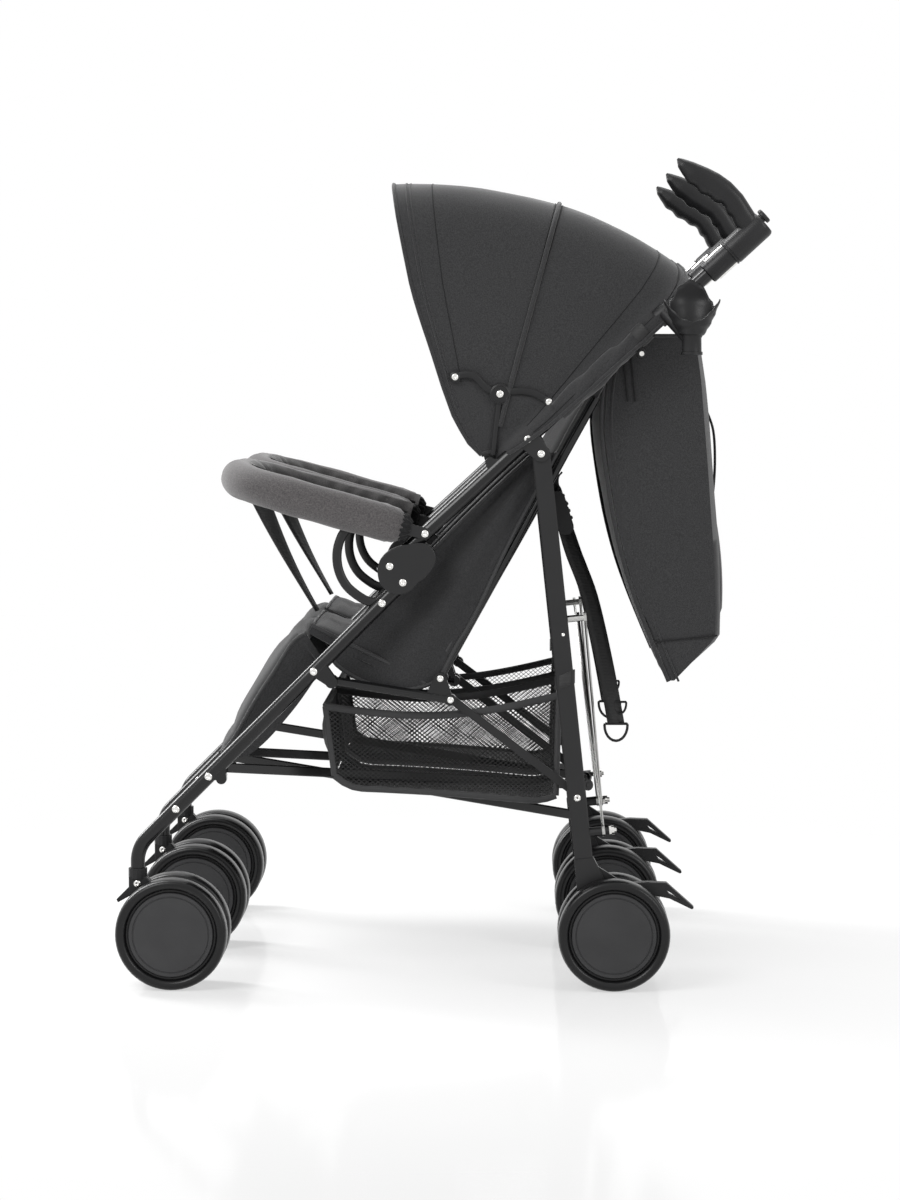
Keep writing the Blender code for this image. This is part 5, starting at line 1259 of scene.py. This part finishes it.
for bay in bays:
    yLow, yHigh = bayEdges(bay, basket["gap"])
    shape = newShape()
    for y, way in ((yLow, -1.0), (yHigh, 1.0)):
        rows = []
        for j in range(9):
            v = j / 8
            row = []
            for i, (top, low) in enumerate(zip(topLine, lowLine)):
                bulge = basket["bulge"] * hump(v) * hump(i / 24) * 0.5 - basket["inset"]
                bulge += basket["crumple"] * noise.noise(Vector((i * 0.5, v * 3, y)))
                row.append(spot(top.lerp(low, v), y + way * bulge))
            rows.append(row)
        addGrid(shape, rows)
        addTube(shape, rows[0], basket["rim"], 12, 1, flat=0.4)
        addTube(shape, rows[-1], basket["binding"], 12, 1, flat=0.5)
        for edge in (0, -1):
            addTube(shape, [row[edge] for row in rows], basket["tape"], 12, 1, flat=0.5)
    for index, slot, push in ((0, 2, basket["frontPush"]), (24, 0, 0.0)):
        rows = []
        for v in (j / 8 for j in range(9)):
            place = topLine[index].lerp(lowLine[index], v)
            row = []
            for k in range(13):
                out = Vector((push * hump(v) * hump(k / 12), 0))
                row.append(spot(place + out, mix(yLow, yHigh, k / 12)))
            rows.append(row)
        addGrid(shape, rows, slot)
        addTube(shape, rows[0], basket["binding"], 12, 1, flat=0.5)
    floor = []
    for low in lowLine:
        sags = [Vector((0, basket["floorSag"] * hump(k / 12))) for k in range(13)]
        floor.append([spot(low - sag, mix(yLow, yHigh, k / 12)) for k, sag in enumerate(sags)])
    addGrid(shape, floor, 2)
    made = makePiece("shopping_basket_" + bay, shape, ["net", "binding", "lining"], 60)
    settle(made, "mid_frame", "basket_" + bay, folds=True)
print("baskets made")

bag = {
    "half": 0.292,
    "top": 0.862,
    "low": 0.404,
    # (height, place along the stroller) of the bag's front and rear
    "front": [
        (0.862, 0.225), (0.8, 0.211), (0.74, 0.2075), (0.68, 0.214), (0.61, 0.226),
        (0.55, 0.241), (0.5, 0.258), (0.45, 0.278), (0.403, 0.298),
    ],
    "rear": [
        (0.862, 0.34), (0.8, 0.348), (0.74, 0.353), (0.68, 0.358), (0.61, 0.363),
        (0.55, 0.367), (0.5, 0.369), (0.46, 0.368), (0.403, 0.306),
    ],
    "rows": 46,
    "corner": 0.02,
    "bulge": {"front": 0.012, "side": 0.004, "rear": 0.009},
    "rearBulgeLimit": 0.003,
    "crumple": 0.0022,
    # the height above which the slit is open, and its half width
    "slit": (0.79, 0.016),
    # inset and radius of the piping and of the seam beside it
    "piping": ((0.0015, 0.0028), (0.015, 0.0016)),
    "topPiping": 0.0026,
    # points of a dark line drawn along a crease in the side panel: painted shade
    "creaseShadeLine": [(0.28, 0.456), (0.32, 0.46), (0.364, 0.4645)],
    "stitches": (0.238, 0.248),
    "flat": (1.46, 0.5),
    "area": 0.66,
    "strap": [(0.356, 0.765), (0.3665, 0.735), (0.369, 0.69), (0.366, 0.645), (0.36, 0.615)],
    "strapY": (-0.15, 0.15),
    "strapHalf": 0.0125,
    "strapWall": 0.0022,
    "pocketZ": (0.615, 0.47),
    "pocketHalf": 0.24,
    "pocketWall": 0.003,
    "pocketFlat": (0.5, 0.165),
}


def bagAt(edge, z):
    return keyed([(-height, x) for height, x in bag[edge]], -z)


def bagSlot(i, j):
    # leaves the slit that the middle handle tube passes through
    z = mix(bag["top"], bag["low"], i / bag["rows"])
    y = mix(-bag["half"], bag["half"], (j + 0.5) / 20) if j < 20 else 1.0
    return None if z > bag["slit"][0] and abs(y) < bag["slit"][1] else 0


shape = newShape()
rows = []
for i in range(bag["rows"] + 1):
    z = mix(bag["top"], bag["low"], i / bag["rows"])
    front, rear = bagAt("front", z), bagAt("rear", z)
    corner = min(bag["corner"], (rear - front) * 0.45)
    swell = hump(i / bag["rows"])
    frontBulge, sideBulge, rearBulge = (size * swell for size in bag["bulge"].values())
    ring = []
    for way, x, shares in ((1, front, range(21)), (-1, rear, range(20, -1, -1))):
        for v in (k / 20 for k in shares):
            bulge = frontBulge * hump(v) if way == 1 else min(rearBulge * hump(v), bag["rearBulgeLimit"])
            rounded = way * corner * max(0.0, abs(2 * v - 1) - 0.9) * 10 * 0.35
            ring.append((x + rounded + bulge, mix(-bag["half"], bag["half"], v)))
        for v in (k / 12 for k in range(1, 12)):
            v = v if way == 1 else 1 - v
            ring.append((mix(front, rear, v), way * (bag["half"] + sideBulge * hump(v))))
    row = []
    for x, y in ring:
        ruck = bag["crumple"] * noise.noise(Vector((x, y, z)) * 9.0)
        row.append(Vector((x + ruck, y + frameY["mid"] + ruck * 0.6, z)))
    rows.append(row)
base = addGrid(shape, rows, bagSlot, loopColumns=True) + bag["rows"] * len(rows[0])
addFace(shape, range(base, base + len(rows[0])), 0)
for way in (-1, 1):
    # piping and stitches on the bag's side panels, and a dark line along a crease as painted shade
    side = frameY["mid"] + way * (bag["half"] + 0.001)
    for inset, size in bag["piping"]:
        line = [Vector((x + inset, side, z)) for z, x in bag["front"]]
        addTube(shape, smoothLine(line, 4), size, 10, 1)
    # the crease is a thin cord in the dark lining finish: painted shade, not a seam
    creaseShadeLine = smoothLine([spot(p, side + way * 0.0012) for p in bag["creaseShadeLine"]], 4)
    addTube(shape, creaseShadeLine, 0.0013, 8, 2)
    for x in bag["stitches"]:
        ends = ((x, side + way * 0.0008, 0.835), (x + 0.006, side + way * 0.002, 0.775))
        addTube(shape, ends, 0.0011, 8, 2)
addTube(shape, rows[0] + [rows[0][0]], bag["topPiping"], 10, 1)
made = makePiece("storage_bag_shell", shape, ["canopyCloth", "canopyCloth", "lining"], 60)
settle(made, "mid_frame", "storage_bag", folds=True)

# the carrying strap and the pocket on the bag's back
shape = newShape()
half = bag["strapHalf"]
for y in bag["strapY"]:
    line = smoothLine(bag["strap"], 6)
    addGrid(shape, [[spot(p, frameY["mid"] + y + s) for s in (-half, 0.0, half)] for p in line])
made = makePiece("bag_straps", shape, ["webbing"], 60, wall=bag["strapWall"])
settle(made, "mid_frame", folds=True)
shape = newShape()
rows = []
for u in (i / 12 for i in range(13)):
    out = 0.3655 + 0.0135 * hump(min(1.0, u * 0.62 + 0.08)) ** 0.8
    if u >= 0.86:
        out = mix(0.379, 0.367, (u - 0.86) / 0.14)
    row = []
    for k in range(17):
        y = frameY["mid"] + mix(-bag["pocketHalf"], bag["pocketHalf"], k / 16)
        row.append(Vector((out - 0.009 * abs(2 * k / 16 - 1) ** 6, y, mix(*bag["pocketZ"], u))))
    rows.append(row)
addGrid(shape, rows)
made = makePiece("bag_pocket", shape, ["canopyCloth"], 60, wall=bag["pocketWall"])
settle(made, "mid_frame", folds=True)
print("bag made")

strap = {
    "half": 0.012,
    "wall": 0.0022,
    "onBack": ((0.315, -0.0106), (0.29, -0.0136)),
    "behind": [(0.172, 0.575), (0.196, 0.51), (0.217, 0.42), (0.233, 0.335)],
    "twist": 1.25,
    # place, half width, drop and wire radius of the rings
    "rings": [((0.2335, 0.334), 0.015, 0.0215, 0.0019), ((0.239, 0.364), 0.008, 0.014, 0.0016)],
    "buckle": ((0.164, 0.604), (0.152, 0.642)),
    "buckleRadius": 0.011,
    "buckleHalf": 0.0155,
    "ribs": (0.25, 0.5, 0.75),
    "ribOut": (0.0105, 0.003),
    "ribHalf": 0.015,
    "ribRadius": 0.0022,
}


def addRing(shape, centre, width, drop, wire):
    # a D-shaped wire ring: a straight bar above and a round bow below
    line = [Vector((-width, 0, 0)), Vector((width, 0, 0))]
    for i in range(13):
        turn = math.radians(180 * i / 12)
        line.append(Vector((width * 1.05 * math.cos(turn), 0, -drop * math.sin(turn) - 0.002)))
    line.append(line[0])
    dense = []
    for a, b in zip(line, line[1:]):
        dense += [a, a.lerp(b, 0.5)]
    addTube(shape, [Vector(centre) + p for p in dense + [dense[0]]], wire, 10, 0, ends=False)


for bay in bays:
    middle = sum(bayEdges(bay, 0.029)) / 2
    half = strap["half"]
    path = [on("backrest", *p) for p in strap["onBack"]] + strap["behind"]
    shape = newShape()
    rows = []
    for i, p in enumerate(smoothLine(path, 6)):
        turn = strap["twist"] * keyed([(0, 0.0), (14, 1.0)], i, True)
        lean = Vector((math.sin(turn), math.cos(turn), 0))
        rows.append([spot(p, middle) + lean * s for s in (-half, -half / 3, half / 3, half)])
    addGrid(shape, rows)
    made = makePiece("recline_webbing_" + bay, shape, ["webbing"], 60, wall=strap["wall"])
    settle(made, "recline_hub_" + bay, "recline_strap_" + bay, folds=True)
    shape = newShape()
    for place, *sizes in strap["rings"]:
        addRing(shape, spot(place, middle), *sizes)
    reach = strap["buckleHalf"]
    addSlab(shape, roundedEnds(*strap["buckle"], strap["buckleRadius"]), middle - reach, middle + reach, 0)
    low, high = (Vector(end) for end in strap["buckle"])
    for run in strap["ribs"]:
        rib = low.lerp(high, run) + Vector(strap["ribOut"])
        addPin(shape, rib, middle - strap["ribHalf"], middle + strap["ribHalf"], strap["ribRadius"], 0, 12)
    made = makePiece("recline_rings_" + bay, shape, ["plastic"], 45, 0.0008)
    settle(made, "recline_hub_" + bay, folds=True)

# the cloth sleeve that fixes the canopy's rear hem to the handle tube, and its band and snap
hem = {
    "runs": (0.3, 0.44),
    "radii": (0.0122, 0.015),
    "band": (0.44, 0.449, 0.458),
    "bandRadii": [0.014, 0.0146, 0.014],
    "snap": (0.432, -0.0185),
    "snapBase": [(0.006, -0.004), (0.0066, 0.0), (0.006, 0.003), (0.0, 0.0035)],
    "snapStud": [(0.0032, -0.002), (0.0032, 0.0012), (0.0, 0.0016)],
    "flat": (0.14, 0.09),
    "area": 0.0112,
}
for side in ("left", "right"):
    y = frameY[side]
    way = outward[side]

    def hemRipple(i, turn):
        return 0.0012 * math.sin(turn * 3 + i * 0.45) + 0.0008 * noise.noise(Vector((i * 0.4, turn, y)))

    shape = newShape()
    line = [spot(on("handle", mix(*hem["runs"], i / 30), 0.0005), y) for i in range(31)]
    sizes = [mix(*hem["radii"], hump(min(1.0, i / 30 + 0.1))) for i in range(31)]
    addTube(shape, line, sizes, 24, 0, ripple=hemRipple)
    addTube(shape, [spot(on("handle", run), y) for run in hem["band"]], hem["bandRadii"], 28, 1)
    snap = on("handle", *hem["snap"])
    addTurned(shape, spot(snap, y + way * 0.004), (0, way, 0), hem["snapBase"], 24, 2)
    addTurned(shape, spot(snap, y + way * 0.007), (0, way, 0), hem["snapStud"], 20, 3)
    made = makePiece("canopy_hem_sleeve_" + side, shape, ["canopyCloth", "webbing", "plastic", "nickel"], 60)
    settle(made, side + "_frame")
print("straps made")

studio = {
    "floorSize": 14.0,
    "ambient": 0.42,
    "gloss": 0.09,
    # power, place and size of each softbox
    "key": (55.0, (-1.8, -2.3, 2.6), (1.8, 1.4)),
    "fill": (26.0, (2.4, -2.2, 1.8), (0.7, 2.0)),
    "top": (30.0, (0.3, 0.6, 3.2), (2.0, 2.0)),
    "rim": (95.0, (-2.0, 1.3, 2.5), (0.65, 3.0)),
    "aim": (0.0, 0.0, 0.55),
}


def seenRays(tree):
    # 1 for rays from the camera, mirrors and see-through cloth, 0 for those that only light
    rays = addNode(tree, "LightPath", {}).outputs
    seen = maths(tree, "MAXIMUM", rays["Is Camera Ray"], rays["Is Glossy Ray"])
    return maths(tree, "MAXIMUM", seen, rays["Is Transmission Ray"])


scene = bpy.context.scene
scene.view_settings.view_transform = "Standard"
world = bpy.data.worlds.new("studio_white")
scene.world = world
world.use_nodes = True
tree = world.node_tree
background = tree.nodes["Background"]
background.inputs["Color"].default_value = (1, 1, 1, 1)
strength = spread(tree, seenRays(tree), {"To Min": studio["ambient"], "To Max": 1.0})
tree.links.new(strength, background.inputs["Strength"])

# a white floor: lit where the stroller stands, so that it takes shadows, and glowing further out
floorMaterial = bpy.data.materials.new("studio_floor_white_gloss")
floorMaterial.use_nodes = True
tree = floorMaterial.node_tree
tree.nodes.clear()
place = addNode(tree, "TexCoord", {}).outputs["Object"]
reach = addNode(tree, "VectorMath", {"operation": "LENGTH", 0: place}).outputs["Value"]
fade = spread(tree, reach, {"From Min": 0.55, "From Max": 1.5, "To Min": 0.62, "To Max": 1.0})
share = maths(tree, "MULTIPLY", seenRays(tree), fade)
matt = addNode(tree, "BsdfDiffuse", {"Color": linear("#fafafa")}).outputs[0]
glow = addNode(tree, "Emission", {"Color": (1, 1, 1, 1), "Strength": 1.0}).outputs[0]
lit = addNode(tree, "MixShader", {0: share, 1: matt, 2: glow}).outputs[0]
gloss = addNode(tree, "BsdfGlossy", {"Roughness": 0.1, "Color": (1, 1, 1, 1)}).outputs[0]
mirror = addNode(tree, "MixShader", {0: studio["gloss"], 1: lit, 2: gloss}).outputs[0]
addNode(tree, "OutputMaterial", {"Surface": mirror})
finishes["floor"] = floorMaterial
half = studio["floorSize"] / 2
shape = newShape()
addGrid(shape, [[Vector((x, y, 0)) for x in (-half, half)] for y in (-half, half)])
makePiece("studio_floor", shape, ["floor"])

for name in ("key", "fill", "top", "rim"):
    power, place, size = studio[name]
    light = bpy.data.lights.new(name + "_softbox", "AREA")
    light.shape = "RECTANGLE"
    light.size, light.size_y = size
    light.energy = power
    lamp = bpy.data.objects.new(name + "_softbox", light)
    scene.collection.objects.link(lamp)
    lamp.location = place
    lamp.rotation_euler = (Vector(studio["aim"]) - Vector(place)).to_track_quat("-Z", "Y").to_euler()

shot = {"lens": 69.76, "place": (0.0947, -4.90825, 0.8035), "down": 3.609, "turn": 1.0655}
camera = bpy.data.cameras.new("photo_camera")
camera.sensor_fit = "VERTICAL"
camera.sensor_height = 24.0
camera.lens = shot["lens"]
camera.clip_end = 60.0
cameraPiece = bpy.data.objects.new("photo_camera", camera)
scene.collection.objects.link(cameraPiece)
cameraPiece.location = shot["place"]
cameraPiece.rotation_euler = (math.radians(90 - shot["down"]), 0.0, math.radians(shot["turn"]))
scene.camera = cameraPiece

print("scene ready")
